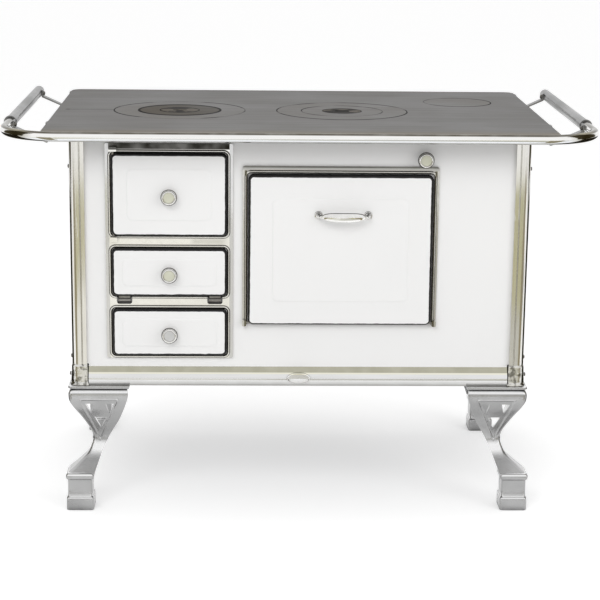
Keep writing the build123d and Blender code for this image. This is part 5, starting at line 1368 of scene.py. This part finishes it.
# floor, light and the cards that the bright metal reflects
studio = {
    "floorSize": 80.0,
    "floorColour": (0.86, 0.86, 0.86),
    "floorLift": 0.42,
    "ambient": 0.62,
    "lamps": {
        "keyLamp": {"place": (-1.2, -3.4, 3.0), "size": (2.6, 2.0), "power": 53.0},
        "fillLamp": {"place": (2.8, -2.6, 1.8), "size": (1.8, 1.8), "power": 23.0},
        "topLamp": {"place": (0.2, 0.4, 3.2), "size": (2.4, 1.6), "power": 14.0},
    },
    "lampTarget": (0.0, 0.0, 0.45),
}
# each card has one colour, or is graded from its left to its right, and only shiny surfaces see it
wall = {"size": (4.2, 6.0), "turn": (90, 0, 90), "colours": [(0.07, 0.06, 0.035)]}
cards = {
    "floorCard": {
        "centre": (0.0, -2.3, 0.01), "size": (5.0, 2.4),
        "colours": [(1.0, 0.97, 0.87), (0.46, 0.46, 0.44)],
    },
    "barCard": {
        "centre": (-0.325, -2.3, 0.011), "size": (0.55, 2.4),
        "colours": [(1.0, 0.985, 0.93), (0.92, 0.91, 0.86)],
    },
    "leftPostCard": {
        "centre": (-0.93, -3.0, 0.012), "size": (0.60, 2.2),
        "colours": [(0.50, 0.47, 0.29), (0.60, 0.57, 0.37)],
    },
    "rightPostCard": {
        "centre": (1.02, -3.0, 0.012), "size": (0.70, 2.2),
        "colours": [(0.60, 0.57, 0.37), (0.50, 0.47, 0.29)],
    },
    "leftWall": dict(wall, centre=(-4.4, 0.6, 3.0)),
    "rightWall": dict(wall, centre=(4.4, 0.6, 3.0)),
}
# wedges on the floor that fan out from the front posts: angles from straight ahead, reach and colour
wedges = {
    "near": {"angles": (18, 46), "reach": (0.3, 4.2), "height": 0.013, "colour": (0.34, 0.30, 0.20)},
    "far": {"angles": (86, 150), "reach": (0.3, 4.2), "height": 0.013, "colour": (0.03, 0.026, 0.018)},
}


def seenDirectly(tree):
    # 1 for what the lens sees, straight, mirrored or through glass
    path = addNode(tree, "LightPath").outputs
    seen = calculate(tree, "MAXIMUM", path["Is Camera Ray"], path["Is Glossy Ray"])
    return calculate(tree, "MAXIMUM", seen, path["Is Transmission Ray"])


def rectangle(width, height):
    x, y = width / 2, height / 2
    return [(-x, -y, 0), (x, -y, 0), (x, y, 0), (-x, y, 0)]


def addStaging(name, corners, material):
    mesh = bpy.data.meshes.new(name)
    mesh.from_pydata(corners, [], [(0, 1, 2, 3)])
    mesh.materials.append(material)
    made = bpy.data.objects.new(name, mesh)
    scene.collection.objects.link(made)
    return made


def makeFloor(setup):
    material, tree, place = newMaterial("paleFloor")
    addStaging("floor", rectangle(setup["floorSize"], setup["floorSize"]), setShader(material, {
        "Base Color": setup["floorColour"],
        "Roughness": 0.7,
        "Specular IOR Level": 0.1,
        "Emission Color": (1.0, 1.0, 1.0),
        "Emission Strength": times(tree, seenDirectly(tree), setup["floorLift"]),
    }))


def makeWorld(setup):
    world = bpy.data.worlds.new("studioWorld")
    world.use_nodes = True
    scene.world = world
    tree = world.node_tree
    background = tree.nodes["Background"].inputs
    background["Color"].default_value = (1, 1, 1, 1)
    tree.links.new(remap(tree, seenDirectly(tree), 0.0, 1.0, setup["ambient"], 1.0), background["Strength"])


def makeLamps(setup):
    target = Vector(setup["lampTarget"])
    for name, lamp in setup["lamps"].items():
        data = bpy.data.lights.new(name, "AREA")
        data.shape = "RECTANGLE"
        data.size, data.size_y = lamp["size"]
        data.energy = lamp["power"]
        made = bpy.data.objects.new(name, data)
        made.location = lamp["place"]
        made.rotation_euler = (target - Vector(lamp["place"])).to_track_quat("-Z", "Y").to_euler()
        made.visible_glossy = False
        scene.collection.objects.link(made)


def addCard(name, corners, card):
    material, tree, place = newMaterial(name)
    colour = card["colours"][0]
    for rightColour in card["colours"][1:]:
        width = card["size"][0]
        share = remap(tree, axesOf(tree, place)["X"], -width / 2, width / 2)
        colour = mixColour(tree, share, colour, rightColour)
    made = addStaging(name, corners, setShader(material, {
        "Base Color": (0.0, 0.0, 0.0),
        "Specular IOR Level": 0.0,
        "Emission Color": colour,
        "Emission Strength": 1.0,
    }))
    made.location = card.get("centre", (0, 0, 0))
    made.rotation_euler = [math.radians(angle) for angle in card.get("turn", (0, 0, 0))]
    for ray in ("camera", "diffuse", "shadow", "transmission"):
        setattr(made, "visible_" + ray, False)


def addWedge(name, wedge, side):
    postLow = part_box("post_front_left")[0]
    origin = Vector((side * abs(postLow.x), postLow.y, wedge["height"]))
    corners = []
    for angle, reaches in zip(wedge["angles"], (wedge["reach"], wedge["reach"][::-1])):
        turn = math.radians(angle)
        way = Vector((side * math.sin(turn), -math.cos(turn), 0))
        corners += [tuple(origin + way * reach) for reach in reaches]
    addCard(name, corners, {"colours": [wedge["colour"]]})


makeFloor(studio)
makeWorld(studio)
makeLamps(studio)
for cardName, card in cards.items():
    addCard(cardName, rectangle(*card["size"]), card)
for sideName, side in (("left", -1), ("right", 1)):
    for wedgeName, wedge in wedges.items():
        addWedge(sideName + wedgeName.capitalize() + "Wedge", wedge, side)
print("stage: camera, floor, lamps and cards")

scene.view_settings.view_transform = "Standard"
